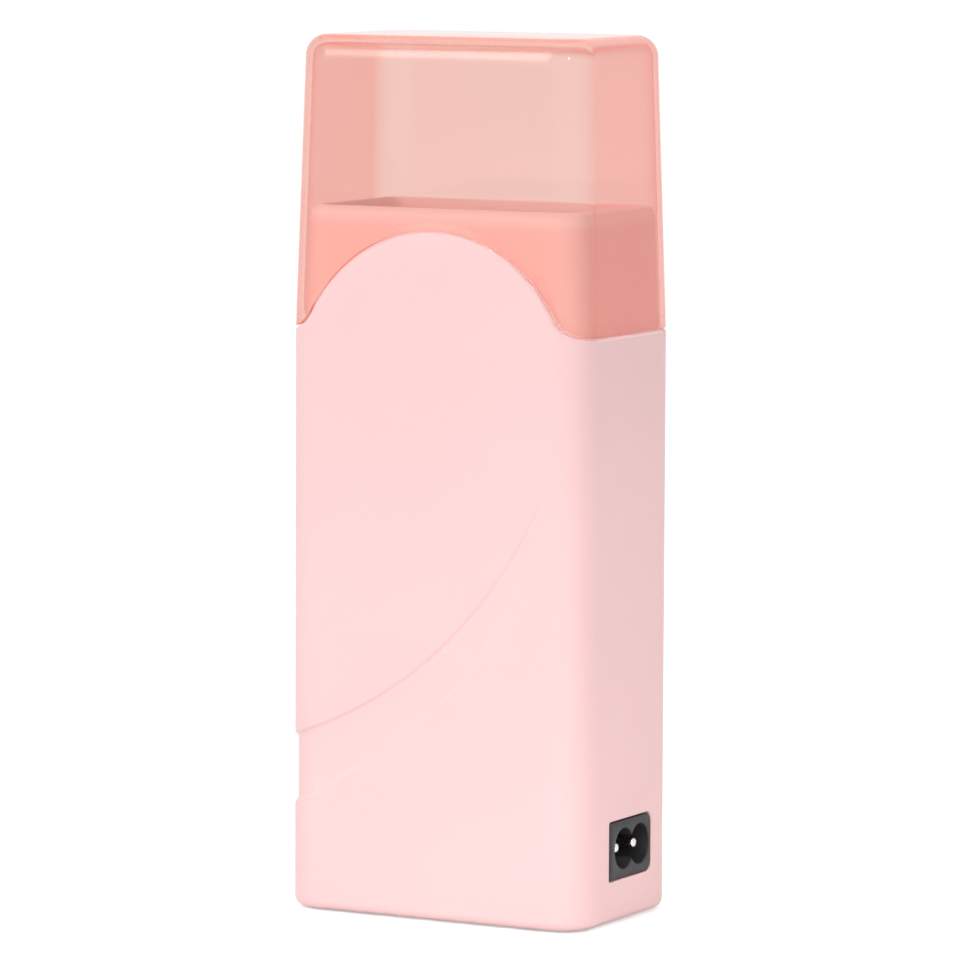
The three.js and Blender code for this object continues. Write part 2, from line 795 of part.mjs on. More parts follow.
/** The body of the inlet seen from the right, grown all round. */
function inletBodyOutline(grow) {
  const width = inletBodyWidth + 2 * grow;
  const height = inletBodyHeight + 2 * grow;
  return roundedRectangle(width, height, inletFaceCornerRadius, socketY, inletHeight);
}

/** What the bevel takes from the front edge of the inlet's face. */
function inletBevel() {
  const frontY = inletFromMiddle - inletFaceWidth / 2;
  const corners = [
    [inletFaceX - inletBevelDepth, frontY],
    [inletFaceX, frontY + inletBevelWidth],
    [inletFaceX + overrun, frontY + inletBevelWidth],
    [inletFaceX + overrun, frontY - overrun],
    [inletFaceX - inletBevelDepth, frontY - overrun],
  ];
  return plate(corners, "z", inletHeight, inletFaceHeight + 2 * overrun);
}

/** The socket: a face in the window of the shell, a flange behind the wall and a body inside. */
function inletHousing() {
  const halfY = inletFaceWidth / 2 + inletFlangeWidth;
  const halfZ = inletFaceHeight / 2 + inletFlangeWidth;
  const face = prism(inletOutline(0), "x", inletFlangeX + inletFlangeThickness / 2, inletFaceX);
  const flange = block(inletFlangeX, innerSideX, -halfY, halfY, -halfZ, halfZ);
  const outline = inletBodyOutline(0);
  const body = prism(outline, "x", inletBackX, inletFlangeX + inletFlangeThickness / 2);
  const holes = [];
  for (const side of [-1, 1]) {
    const lobeY = socketY + (side * socketLobeSpacing) / 2;
    const pinY = socketY + (side * pinSpacing) / 2;
    const floorX = inletFaceX - socketDepth;
    holes.push(rod(2 * socketLobeRadius, "x", floorX, inletFaceX + overrun, lobeY, inletHeight));
    holes.push(rod(pinDiameter + 2 * fitGap, "x", inletBackX - overrun, inletFaceX, pinY, inletHeight));
  }
  holes.push(inletBevel());
  const placedFlange = flange.translate([0, inletFromMiddle, inletHeight]);
  return join([face, placedFlange, body]).subtract(join(holes));
}

/** A mains pin with its flat solder tail. */
function inletPin(side) {
  const y = socketY + (side * pinSpacing) / 2;
  const t = pinTailThickness / 2;
  const w = pinDiameter / 2;
  const pin = rod(pinDiameter, "x", inletBackX, inletFaceX - pinSink, y, inletHeight);
  const tail = block(inletBackX - pinTailLength, inletBackX, y - t, y + t, inletHeight - w, inletHeight + w);
  return pin.add(tail);
}

/** The plate that keeps the inlet in its window, slid over its body from inside. */
function inletBracket() {
  const width = inletBodyWidth + 2 * bracketMargin;
  const height = 2 * bracketReach + bracketBossDiameter;
  const outline = roundedRectangle(width, height, inletFaceCornerRadius, socketY, inletHeight);
  const holes = [prism(inletBodyOutline(fitGap), "x", bracketX - overrun, inletFlangeX + overrun)];
  for (const way of [-1, 1]) {
    const z = inletHeight + way * bracketReach;
    const hole = bracketScrewDiameter + 2 * fitGap;
    holes.push(rod(hole, "x", bracketX - overrun, inletFlangeX + overrun, socketY, z));
  }
  return prism(outline, "x", bracketX, inletFlangeX).subtract(join(holes));
}

/** A screw of the bracket, above or below the inlet. */
function bracketScrew(way) {
  const z = inletHeight + way * bracketReach;
  const headX = bracketX - bracketScrewHeadThickness;
  const head = rod(bracketScrewHeadDiameter, "x", headX, bracketX, socketY, z);
  const shankX = bracketX - bracketScrewHeadThickness / 2;
  return head.add(rod(bracketScrewDiameter, "x", shankX, bracketScrewEndX, socketY, z));
}

// Inner wiring

const tailX = inletBackX - pinTailLength - fitGap;
const baseRunHeight = inletHeight - baseRunDrop;
const leadRadius = leadDiameter / 2;
const laneX = (wellSideX + innerSideX) / 2;
const laneRadius = laneX - wellSideX + wellWall + wellCornerRadius;
const frontTabY = stackY + leadRadius + fitGap;
const rearTabY = electrodeRearY + electrodeThickness / 2;

/** An insulated lead through a list of points. */
function lead(points) {
  const stops = points.map((point) => new THREE.Vector3(...point));
  const path = new THREE.CatmullRomCurve3(stops, false, "centripetal");
  const circle = new THREE.Shape();
  for (let side = 0; side < leadSides; side += 1) {
    const angle = (2 * Math.PI * side) / leadSides;
    const x = leadRadius * Math.cos(angle);
    const y = leadRadius * Math.sin(angle);
    if (side === 0) circle.moveTo(x, y);
    else circle.lineTo(x, y);
  }
  const options = { steps: leadSteps, extrudePath: path, bevelEnabled: false };
  return solid(new THREE.ExtrudeGeometry(circle, options));
}

/** The bend of a lead round a rear corner of the well, and its run to the tab of an electrode. */
function tabRun(side, tabY) {
  const cornerX = wellHalfWidth - wellCornerRadius;
  const cornerY = wellBackY - wellCornerRadius;
  const tabX = electrodeWidth / 2 + electrodeTabReach + fitGap;
  const bend = Math.SQRT1_2 * laneRadius;
  return [
    [side * laneX, cornerY, electrodeTabHeight],
    [side * (cornerX + bend), cornerY + bend, electrodeTabHeight],
    [side * (tabX + leadDiameter), tabY, electrodeTabHeight],
    [side * tabX, tabY, electrodeTabHeight],
  ];
}

/** From the front pin along the base to the thermostat. */
function leadLive() {
  return lead([
    [tailX, socketY - pinSpacing / 2, inletHeight],
    [tailX - leadDiameter, socketY - pinSpacing / 2, inletHeight],
    [tailX - baseRunStart, wellMiddleY - baseRunForward, baseRunHeight],
    [baseRunEndInset - wellHalfWidth, wellMiddleY - baseRunEndForward, baseRunHeight],
    [thermostatX, wellMiddleY - fitGap, wellBottomHeight - baseRunRiseBelowWell],
    [thermostatX, wellMiddleY, wellBottomHeight],
    [thermostatX, wellMiddleY, switchHeight - thermostatEnd - fitGap],
  ]);
}

/** From the rear pin over the right screw boss to the fuse. */
function leadNeutral() {
  return lead([
    [tailX, socketY + pinSpacing / 2, inletHeight],
    [tailX - leadDiameter, socketY + pinSpacing / 2, inletHeight],
    [tailX - bendFromTail, socketY + pinSpacing / 2 + bendBehindPin, inletHeight + bendAboveInlet],
    [coverScrewX - climbBesideScrew, wellBackY - climbBeforeWellBack, coverScrewHeight - climbBelowScrew],
    [coverScrewX - crossBesideScrew, wellBackY - crossBeforeWellBack, coverScrewHeight + crossAboveScrew],
    [coverScrewX + landPastScrew, wellMiddleY + landBehindMiddle, wellBottomHeight - landBelowWell],
    [fuseX, wellMiddleY, wellBottomHeight + wellWall],
    [fuseX, wellMiddleY, switchHeight - fuseEnd - fitGap],
  ]);
}

/** From the thermostat round the well to the rear electrode. */
function leadThermostat() {
  return lead([
    [thermostatX, wellMiddleY, switchHeight + thermostatEnd + fitGap],
    [-laneX, wellMiddleY + leadDiameter, (switchHeight + thermostatEnd + electrodeTabHeight) / 2],
    ...tabRun(-1, rearTabY),
  ]);
}

/** From the fuse round the well to the front electrode. */
function leadFuse() {
  return lead([
    [fuseX, wellMiddleY, switchHeight + fuseEnd + fitGap],
    [laneX, wellMiddleY + leadDiameter, (switchHeight + fuseEnd + electrodeTabHeight) / 2],
    ...tabRun(1, frontTabY),
  ]);
}

// The heater

const shellPink = { color: 0xf7cbc9, roughness: 0.42, metalness: 0 };
const clearCoral = { color: 0xf2a99c, roughness: 0.12, metalness: 0, transparent: true, opacity: 0.45 };
const socketBlack = { color: 0x2b292b, roughness: 0.45, metalness: 0 };
const nickel = { color: 0xd9d7d2, roughness: 0.25, metalness: 1 };
const aluminium = { color: 0xc9ccd0, roughness: 0.35, metalness: 1 };
const springSteel = { color: 0x9a9ea3, roughness: 0.3, metalness: 1 };
const brass = { color: 0xc9a24b, roughness: 0.35, metalness: 1 };
const mica = { color: 0xb79a6a, roughness: 0.6, metalness: 0 };
const ceramic = { color: 0x6b6f73, roughness: 0.7, metalness: 0 };
const holderPlastic = { color: 0xe9e4d8, roughness: 0.6, metalness: 0 };
const switchCase = { color: 0x202226, roughness: 0.5, metalness: 0 };
const fuseSleeve = { color: 0xded6c4, roughness: 0.5, metalness: 0 };
const rubber = { color: 0x8f8a8a, roughness: 0.9, metalness: 0 };
const liveBrown = { color: 0x6b3d24, roughness: 0.5, metalness: 0 };
const neutralBlue = { color: 0x2f5fa8, roughness: 0.5, metalness: 0 };
const glassWhite = { color: 0xe6e6e2, roughness: 0.6, metalness: 0 };

/** A named mesh of one piece, with its own material. */
function piece(name, body, finish) {
  const mesh = new THREE.Mesh(geometryOf(body), new THREE.MeshStandardMaterial(finish));
  mesh.name = name;
  return mesh;
}

const body = new THREE.Group();
body.position.z = footProud;
body.add(
  piece("front_shell", frontShell(), shellPink),
  piece("rear_cover", rearCover(), shellPink),
  piece("cover_screw_left", coverScrew(-1), nickel),
  piece("cover_screw_right", coverScrew(1), nickel),
  piece("neck_collar", neckCollar(), shellPink),
  piece("cartridge_well", cartridgeWell(), aluminium),
  piece("insulation_front", insulation(insulationFrontY), mica),
  piece("electrode_front", electrode(electrodeFrontY, 1), brass),
  piece("ptc_holder", ptcHolder(), holderPlastic),
  piece("ptc_tablet_lower", ptcTablet(-1), ceramic),
  piece("ptc_tablet_middle", ptcTablet(0), ceramic),
  piece("ptc_tablet_upper", ptcTablet(1), ceramic),
  piece("electrode_rear", electrode(electrodeRearY, -1), brass),
  piece("insulation_rear", insulation(insulationRearY), mica),
  piece("heater_clamp", heaterClamp(), springSteel),
  piece("thermostat", thermostat(), switchCase),
  piece("thermostat_clip", clip(-1, thermostatThickness, thermostatWidth), springSteel),
  piece("thermal_fuse", thermalFuse(), fuseSleeve),
  piece("fuse_clip", clip(1, fuseDiameter + fitGap, fuseDiameter), springSteel),
  piece("inlet_housing", inletHousing(), socketBlack),
  piece("inlet_pin_front", inletPin(-1), nickel),
  piece("inlet_pin_rear", inletPin(1), nickel),
  piece("inlet_bracket", inletBracket(), springSteel),
  piece("bracket_screw_upper", bracketScrew(1), nickel),
  piece("bracket_screw_lower", bracketScrew(-1), nickel),
  piece("lead_live", leadLive(), liveBrown),
  piece("lead_neutral", leadNeutral(), neutralBlue),
  piece("lead_thermostat", leadThermostat(), glassWhite),
  piece("lead_fuse", leadFuse(), glassWhite),
);
for (const [side, back] of footPlaces) {
  const name = `foot_${back < 0 ? "front" : "rear"}_${side < 0 ? "left" : "right"}`;
  body.add(piece(name, foot([side, back]), rubber));
}

const lid = new THREE.Group();
lid.position.z = footProud;
lid.add(piece("cap", cap(), clearCoral));

const heater = new THREE.Group();
heater.add(body, lid);

export default heater;
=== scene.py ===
"""The looks of a roll-on cartridge wax heater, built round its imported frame.

Sizes are in millimetres from the underside of the base, as the drawing of the heater gives them. They become metres,
and rise by the height of the feet, where a mesh is made.
"""

import json
import logging
import math
import sys
from dataclasses import dataclass
from enum import Enum
from typing import Sequence

import bmesh
import bpy
import numpy as np
from mathutils import Matrix, Vector

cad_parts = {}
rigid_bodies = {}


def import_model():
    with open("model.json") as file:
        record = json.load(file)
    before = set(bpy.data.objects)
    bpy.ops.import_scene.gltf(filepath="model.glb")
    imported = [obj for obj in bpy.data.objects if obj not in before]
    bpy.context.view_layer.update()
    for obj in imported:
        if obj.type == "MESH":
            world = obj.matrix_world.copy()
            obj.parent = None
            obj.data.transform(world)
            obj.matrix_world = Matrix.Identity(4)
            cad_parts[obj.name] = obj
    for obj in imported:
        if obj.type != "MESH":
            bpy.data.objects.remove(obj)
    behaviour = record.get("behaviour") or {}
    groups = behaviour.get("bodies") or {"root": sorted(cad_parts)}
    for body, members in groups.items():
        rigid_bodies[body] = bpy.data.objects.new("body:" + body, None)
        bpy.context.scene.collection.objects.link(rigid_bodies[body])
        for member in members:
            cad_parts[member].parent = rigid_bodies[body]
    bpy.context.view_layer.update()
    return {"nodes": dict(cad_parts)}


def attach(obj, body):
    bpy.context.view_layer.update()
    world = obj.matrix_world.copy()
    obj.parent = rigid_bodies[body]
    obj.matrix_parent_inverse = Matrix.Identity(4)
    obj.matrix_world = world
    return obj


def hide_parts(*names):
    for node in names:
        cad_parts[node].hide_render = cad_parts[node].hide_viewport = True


Piece = bpy.types.Object
Node = bpy.types.Node
Socket = bpy.types.NodeSocket
Source = Socket | float | Sequence[float]
Inputs = dict[str | int, Source]
Pair = tuple[float, float]
Triple = tuple[float, float, float]
Colour = Triple
Heights = np.ndarray | float
Faces = list[tuple[int, ...]]

MILLIMETRE = 0.001
FOOT_RISE = 0.5
SHARP_ANGLE = math.radians(34)
WELD = 1e-7
FULL_TURN = 2 * math.pi
QUARTER = math.pi / 2
OVERSHOOT = 1.0
EXTRA_GAP = 0.02
NOISE_LOW, NOISE_HIGH = 0.35, 0.65
SIDE_STEPS, BACK_STEPS, CORNER_STEPS = 12, 16, 20

# At each knot of the outline: the direction that it faces, and 1 for the right side or the back, -1 for the other.
KNOT_TURNS = np.array([0, 0, 1, 1, 2, 2, 3, 3, 4]) * QUARTER
KNOT_SIDES = [1, 1, 1, -1, -1, -1, -1, 1, 1]
KNOT_BACKS = [-1, 1, 1, 1, 1, -1, -1, -1, -1]

# The Mix node has these sockets once for each kind of value, so the ones for colours go by their numbers.
MIX_FIRST, MIX_SECOND, MIX_RESULT = 6, 7, 2

PRINCIPLED = "ShaderNodeBsdfPrincipled"
LEFT_AND_RIGHT = (("left", -1), ("right", 1))
FRONT_AND_REAR = (("front", -1), ("rear", 1))

log = logging.getLogger("wax_heater")


# Meshes


class Axis(Enum):
    """The direction that a solid is stacked along."""

    X = (2, 0, 1)
    Y = (0, 2, 1)
    Z = (0, 1, 2)

    def lay(self, outline: np.ndarray, along: float) -> np.ndarray:
        """Places a flat outline in space, at a place on the axis."""
        flat = np.column_stack([outline, np.full(len(outline), along)])
        return flat[:, list(self.value)]


class Cut(Enum):
    """What one solid does to another."""

    TAKE = "DIFFERENCE"
    ADD = "UNION"
    KEEP = "INTERSECT"


def new_object(name: str, data: bpy.types.ID) -> Piece:
    """Makes an object and puts it in the scene.

    Args:
        name: Name of the object.
        data: Its mesh, camera or light.

    Returns:
        The object.
    """
    piece = bpy.data.objects.new(name, data)
    bpy.context.scene.collection.objects.link(piece)
    return piece


def weld(mesh: bpy.types.Mesh, outwards: bool = False) -> None:
    """Joins the doubled points of a mesh.

    Args:
        mesh: Mesh that is changed.
        outwards: True to turn its faces outwards too.
    """
    shape = bmesh.new()
    shape.from_mesh(mesh)
    bmesh.ops.remove_doubles(shape, verts=shape.verts, dist=WELD)
    if outwards:
        bmesh.ops.recalc_face_normals(shape, faces=shape.faces)
    shape.to_mesh(mesh)
    shape.free()


def rings_piece(name: str, rings: Sequence[np.ndarray], looped: bool = False) -> Piece:
    """Joins rings of equal length into a closed mesh in the shared frame.

    Args:
        name: Name of the piece.
        rings: Rings of points in drawing millimetres, each joined to the next.
        looped: True to join the last ring to the first, and False to close both with a face.

    Returns:
        The object.
    """
    count = len(rings[0])
    total = len(rings)
    faces: Faces = []
    for ring in range(total if looped else total - 1):
        here = ring * count
        there = (ring + 1) % total * count
        for point in range(count):
            after = (point + 1) % count
            faces.append((here + point, here + after, there + after, there + point))
    if not looped:
        faces.append(tuple(reversed(range(count))))
        faces.append(tuple(range((total - 1) * count, total * count)))
    mesh = bpy.data.meshes.new(name)
    points = (np.concatenate(rings) + (0, 0, FOOT_RISE)) * MILLIMETRE
    mesh.from_pydata(points.tolist(), [], faces)
    weld(mesh, True)
    return new_object(name, mesh)


def stack_piece(name: str, axis: Axis, layers: Sequence[tuple[np.ndarray, float]]) -> Piece:
    """Makes a closed solid through flat outlines of equal length, each with its place on the axis."""
    return rings_piece(name, [axis.lay(outline, along) for outline, along in layers])


def turned(name: str, axis: Axis, profile: Sequence[Pair], centre: Pair, sides: int) -> Piece:
    """Makes a round solid about an axis, from the radius and the place of each ring."""
    return stack_piece(name, axis, [(circle(radius, sides, centre), along) for radius, along in profile])


def circle(radius: float, sides: int, centre: Pair) -> np.ndarray:
    """Gives the points of a circle."""
    turn = np.arange(sides) * FULL_TURN / sides
    return np.column_stack([centre[0] + radius * np.cos(turn), centre[1] + radius * np.sin(turn)])


def box_outline(middle: Pair, half: Pair, radii: Sequence[float], steps: int) -> np.ndarray:
    """Gives the outline of a rectangle with round corners.

    Args:
        middle: Middle of the rectangle.
        half: Half its width and height.
        radii: Radius of each corner, from the low right one and round through the high right one.
        steps: Sides of each corner.

    Returns:
        The points of the outline.
    """
    points = []
    for number, (right, up, radius) in enumerate(zip((1, 1, -1, -1), (-1, 1, 1, -1), radii)):
        x = middle[0] + right * half[0]
        y = middle[1] + up * half[1]
        for step in range(steps + 1):
            turn = QUARTER * (number - 1 + step / steps)
            points.append((x - right * radius + radius * math.cos(turn), y - up * radius + radius * math.sin(turn)))
    return np.array(points)


def block(name: str, axis: Axis, middle: Pair, half: Pair, radius: float, ends: Pair) -> Piece:
    """Makes a straight block along an axis, from half the width and height of its outline and its corner radius."""
    outline = box_outline(middle, half, [radius] * 4, steps=6)
    return stack_piece(name, axis, [(outline, end) for end in ends])


def round_over(radius: float, steps: int) -> list[Pair]:
    """Gives a quarter round as pairs of inset and depth, from the face to the side."""
    turns = [QUARTER * step / steps for step in range(steps + 1)]
    return [(radius * (1 - math.sin(turn)), radius * (1 - math.cos(turn))) for turn in turns]


def round_up(radius: float, steps: int) -> list[Pair]:
    """Gives a quarter round as pairs of inset and depth, from the side to the face."""
    return round_over(radius, steps)[::-1]


def shares(steps: int) -> np.ndarray:
    """Gives the shares between even steps from 0 to 1, without both ends."""
    return np.linspace(0, 1, steps + 1)[1:-1]


def eased(share: np.ndarray) -> np.ndarray:
    """Eases shares from 0 to 1 at both ends."""
    return share**2 * (3 - 2 * share)


def combine(piece: Piece, how: Cut, tool: Piece) -> None:
    """Applies one closed solid to another, and removes it.

    Args:
        piece: Solid that is changed.
        how: What the other solid does to it.
        tool: The other solid.

    Raises:
        RuntimeError: The other solid did nothing.
    """
    before = len(piece.data.vertices)
    boolean = piece.modifiers.new("combine", "BOOLEAN")
    boolean.operation = how.value
    boolean.solver = "MANIFOLD"
    boolean.object = tool
    mesh = bpy.data.meshes.new_from_object(piece.evaluated_get(bpy.context.evaluated_depsgraph_get()))
    piece.modifiers.clear()
    piece.data = mesh
    bpy.data.objects.remove(tool)
    if len(mesh.vertices) in (0, before):
        raise RuntimeError(f"{piece.name}: the other solid did nothing to it")


def copy_of_node(node: Piece, name: str) -> Piece:
    """Copies a node of the frame, with its doubled corner points joined.

    Args:
        node: Node that is copied.
        name: Name of the copy.

    Returns:
        The copy.
    """
    mesh = node.data.copy()
    mesh.materials.clear()
    normals = mesh.attributes.get("custom_normal")
    if normals is not None:
        mesh.attributes.remove(normals)
    weld(mesh)
    return new_object(name, mesh)


# Finishes


class Sum(Enum):
    """What is done with two values."""

    MULTIPLY = "MULTIPLY"
    POWER = "POWER"
    GREATER = "GREATER_THAN"
    LARGEST = "MAXIMUM"


class Graph:
    """The node tree of a material or of the world, with short ways to add and join nodes."""

    def __init__(self, owner: bpy.types.Material | bpy.types.World) -> None:
        """Clears the tree, and starts it with an output and the coordinates.

        Args:
            owner: The material or the world.
        """
        owner.use_nodes = True
        self.owner = owner
        self.tree = owner.node_tree
        self.tree.nodes.clear()
        self.output = self.add("ShaderNodeOutputWorld" if isinstance(owner, bpy.types.World)
                               else "ShaderNodeOutputMaterial")
        self.coordinates = self.add("ShaderNodeTexCoord").outputs

    def add(self, kind: str, inputs: Inputs | None = None, **options: object) -> Node:
        """Adds a node.

        Args:
            kind: Type of the node.
            inputs: The output or the value that goes into each of its inputs.
            **options: Its options.

        Returns:
            The node.
        """
        node = self.tree.nodes.new(kind)
        for name, value in options.items():
            setattr(node, name, value)
        for name, source in (inputs or {}).items():
            target = node.inputs[name]
            if isinstance(source, Socket):
                self.tree.links.new(source, target)
            elif target.type == "RGBA":
                target.default_value = (*source, 1)
            else:
                target.default_value = source
        return node

    def surface(self, shader: Node) -> bpy.types.Material | bpy.types.World:
        """Joins a shader to the output, and gives the material or the world."""
        self.tree.links.new(shader.outputs[0], self.output.inputs["Surface"])
        return self.owner

    def sum(self, how: Sum, first: Source, second: Source) -> Socket:
        """Gives what is made of two values."""
        return self.add("ShaderNodeMath", {0: first, 1: second}, operation=how.value).outputs["Value"]

    def either(self, kinds: Sequence[str], *others: Socket) -> Socket:
        """Gives 1 for light of some kinds or where another output is 1.

        Args:
            kinds: Names of the Light Path outputs.
            *others: Further outputs.

        Returns:
            The output with 1 or 0.
        """
        path = self.add("ShaderNodeLightPath").outputs
        found, *rest = [path[kind] for kind in kinds] + list(others)
        for other in rest:
            found = self.sum(Sum.LARGEST, found, other)
        return found

    def seen(self) -> Socket:
        """Gives 1 for what the camera sees, straight, by gloss or through glass, and 0 for other light."""
        return self.either(["Is Camera Ray", "Is Glossy Ray", "Is Transmission Ray"])

    def noise(self, size: float, detail: float = 2, stretch: Triple = (1, 1, 1)) -> Socket:
        """Adds a noise over the piece.

        Args:
            size: Size of the spots, in millimetres.
            detail: How many finer layers it has.
            stretch: How much longer than wide the spots are along each axis.

        Returns:
            The output with the noise, about a half in the middle.
        """
        scale = [1 / share for share in stretch]
        mapping = self.add("ShaderNodeMapping", {"Vector": self.coordinates["Object"], "Scale": scale})
        inputs = {"Vector": mapping.outputs["Vector"], "Scale": 1 / (size * MILLIMETRE), "Detail": detail}
        return self.add("ShaderNodeTexNoise", inputs).outputs["Fac"]

    def spread(self, source: Socket, low: Source, high: float, start: float = NOISE_LOW,
               end: float = NOISE_HIGH) -> Socket:
        """Maps a value from the range start to end onto another range, and keeps it there."""
        inputs = {"Value": source, "From Min": start, "From Max": end, "To Min": low, "To Max": high}
        return self.add("ShaderNodeMapRange", inputs).outputs["Result"]

    def blend(self, factor: Socket, first: Source, second: Source) -> Socket:
        """Blends two colours."""
        inputs = {"Factor": factor, MIX_FIRST: first, MIX_SECOND: second}
        return self.add("ShaderNodeMix", inputs, data_type="RGBA").outputs[MIX_RESULT]

    def bump(self, height: Socket, depth: float, below: Socket | None = None) -> Socket:
        """Adds a relief.

        Args:
            height: Height over the surface, from 0 to 1.
            depth: Depth of the relief, in millimetres.
            below: Relief that this one lies on.

        Returns:
            The normal.
        """
        inputs: Inputs = {"Height": height, "Distance": depth * MILLIMETRE}
        if below is not None:
            inputs["Normal"] = below
        return self.add("ShaderNodeBump", inputs).outputs["Normal"]


def shade_of(colour: Colour, share: float) -> Colour:
    """Gives a colour made lighter or darker by a share."""
    red, green, blue = (min(1.0, part * share) for part in colour)
    return red, green, blue


@dataclass(frozen=True)
class MouldedPlastic:
    """An opaque moulded plastic with a fine eroded grain, and a painted highlight that lightens its convex edges.

    The top of a thin rim may be painted lighter, painted light for the light that shines through its wall. It starts
    at rim_foot and is full from rim_full upwards.
    """

    name: str
    colour: Colour
    roughness: float
    roughness_spread: Pair = (-0.04, 0.05)
    cloud_size: float = 38.0
    mottle: float = 0.012
    painted_edge_highlight: float = 1.2
    edge_sharpness: Pair = (0.53, 0.6)
    rubbed_size: float = 9.0
    wave_size: float = 14.0
    wave_depth: float = 0.012
    grain: float = 0.3
    grain_depth: float = 0.004
    refraction: float = 1.49
    rim_painted_light: Colour | None = None
    rim_foot: float = 150.1
    rim_full: float = 153.1

    def _rim(self, graph: Graph, colour: Socket) -> Socket:
        """Blends a colour into the rim's painted light, a lighter colour at its top.

        Args:
            graph: The material's node tree.
            colour: Colour below the rim.

        Returns:
            The output with the colour.
        """
        height = graph.add("ShaderNodeSeparateXYZ", {"Vector": graph.coordinates["Object"]}).outputs["Z"]
        start, end = ((place + FOOT_RISE) * MILLIMETRE for place in (self.rim_foot, self.rim_full))
        return graph.blend(graph.spread(height, 0, 1, start, end), colour, self.rim_painted_light)

    def material(self) -> bpy.types.Material:
        """Makes the material.

        Returns:
            The material.
        """
        graph = Graph(bpy.data.materials.new(self.name))
        cloud = graph.spread(graph.noise(self.cloud_size, detail=3), 0, 1)
        colour = graph.blend(cloud, shade_of(self.colour, 1 - self.mottle), shade_of(self.colour, 1 + self.mottle))
        # Painted highlight: convex edges are painted lighter, standing in for the light that their rounding catches.
        pointed = graph.add("ShaderNodeNewGeometry").outputs["Pointiness"]
        edges = graph.spread(pointed, 0, 1, *self.edge_sharpness)
        colour = graph.blend(edges, colour, shade_of(self.colour, self.painted_edge_highlight))
        # Painted light: the rim's top is painted lighter, standing in for light that shines through its thin wall.
        if self.rim_painted_light is not None:
            colour = self._rim(graph, colour)
        low, high = (self.roughness + part for part in self.roughness_spread)
        grain = graph.bump(graph.noise(self.grain, detail=3), self.grain_depth)
        return graph.surface(graph.add(PRINCIPLED, {
            "Base Color": colour,
            "Roughness": graph.spread(graph.noise(self.rubbed_size, detail=4), low, high),
            "Normal": graph.bump(graph.noise(self.wave_size, detail=1), self.wave_depth, grain),
            "IOR": self.refraction,
        }))


@dataclass(frozen=True)
class ClearPlastic:
    """A polished clear plastic, tinted at its faces and through its thickness.

    The tint deepens where a face is seen at a slant. The absorption is in shares per millimetre of red, green and
    blue. Light that the wall would trap leaves it after two inner reflections, and the light of the lamps reaches
    what the wall covers.
    """

    name: str
    tint: Colour
    slanted_tint: Colour
    absorbs: Colour
    slant_power: float = 1.5
    streak_size: float = 30.0
    streak_stretch: Triple = (1, 1, 3)
    streaks: Pair = (0.985, 1.015)
    gloss: float = 0.15
    gloss_roughness: float = 0.03
    refraction: float = 1.33
    haze: float = 0.06
    wave_size: float = 24.0
    wave_depth: float = 0.01
    fine_size: float = 1.2
    fine_depth: float = 0.0004
    inner_reflections: float = 1.5
    density_margin: float = 1.05

    def _slant(self, graph: Graph) -> Socket:
        """Gives how much a face is turned away, with faint streaks from the moulding.

        Args:
            graph: The material's node tree.

        Returns:
            The output with the share.
        """
        slant = graph.sum(Sum.POWER, graph.add("ShaderNodeLayerWeight").outputs["Facing"], self.slant_power)
        streaks = graph.noise(self.streak_size, stretch=self.streak_stretch)
        return graph.sum(Sum.MULTIPLY, slant, graph.spread(streaks, *self.streaks))

    def _wavy(self, graph: Graph) -> Socket:
        """Gives the normal of a face with its faint waves."""
        waves = graph.bump(graph.noise(self.wave_size, detail=1), self.wave_depth)
        return graph.bump(graph.noise(self.fine_size), self.fine_depth, waves)

    def material(self) -> bpy.types.Material:
        """Makes the material.

        Returns:
            The material.
        """
        graph = Graph(bpy.data.materials.new(self.name))
        wavy = self._wavy(graph)
        glass = graph.add(PRINCIPLED, {
            "Base Color": graph.blend(self._slant(graph), self.tint, self.slanted_tint),
            "Transmission Weight": 1.0, "IOR": self.refraction, "Roughness": self.haze,
            "Coat Weight": self.gloss, "Coat Roughness": self.gloss_roughness,
            "Normal": wavy, "Coat Normal": wavy,
        })
        reflections = graph.add("ShaderNodeLightPath").outputs["Glossy Depth"]
        trapped = graph.sum(Sum.GREATER, reflections, self.inner_reflections)
        open_way = graph.add("ShaderNodeBsdfTransparent")
        density = max(self.absorbs) * self.density_margin
        volume = graph.add("ShaderNodeVolumeAbsorption", {
            "Color": [1 - part / density for part in self.absorbs], "Density": density / MILLIMETRE,
        })
        graph.tree.links.new(volume.outputs["Volume"], graph.output.inputs["Volume"])
        return graph.surface(graph.add("ShaderNodeMixShader", {
            "Fac": graph.either(["Is Shadow Ray", "Is Diffuse Ray"], trapped),
            1: glass.outputs["BSDF"], 2: open_way.outputs["BSDF"],
        }))


@dataclass(frozen=True)
class Metal:
    """A bare or plated metal with the marks of its drawing or rolling."""

    name: str
    colour: Colour
    roughness: float
    marks: Triple
    mark_size: float
    mark_depth: float
    roughness_spread: Pair = (-0.07, 0.08)
    stain_size: float = 11.0
    stains: Pair = (0.93, 1.04)

    def material(self) -> bpy.types.Material:
        """Makes the material.

        Returns:
            The material.
        """
        graph = Graph(bpy.data.materials.new(self.name))
        stain = graph.spread(graph.noise(self.stain_size, detail=4), 0, 1)
        lines = graph.noise(self.mark_size, detail=3, stretch=self.marks)
        low, high = (self.roughness + part for part in self.roughness_spread)
        return graph.surface(graph.add(PRINCIPLED, {
            "Base Color": graph.blend(stain, *(shade_of(self.colour, share) for share in self.stains)),
            "Roughness": graph.spread(lines, low, high),
            "Normal": graph.bump(lines, self.mark_depth),
            "Metallic": 1.0,
        }))


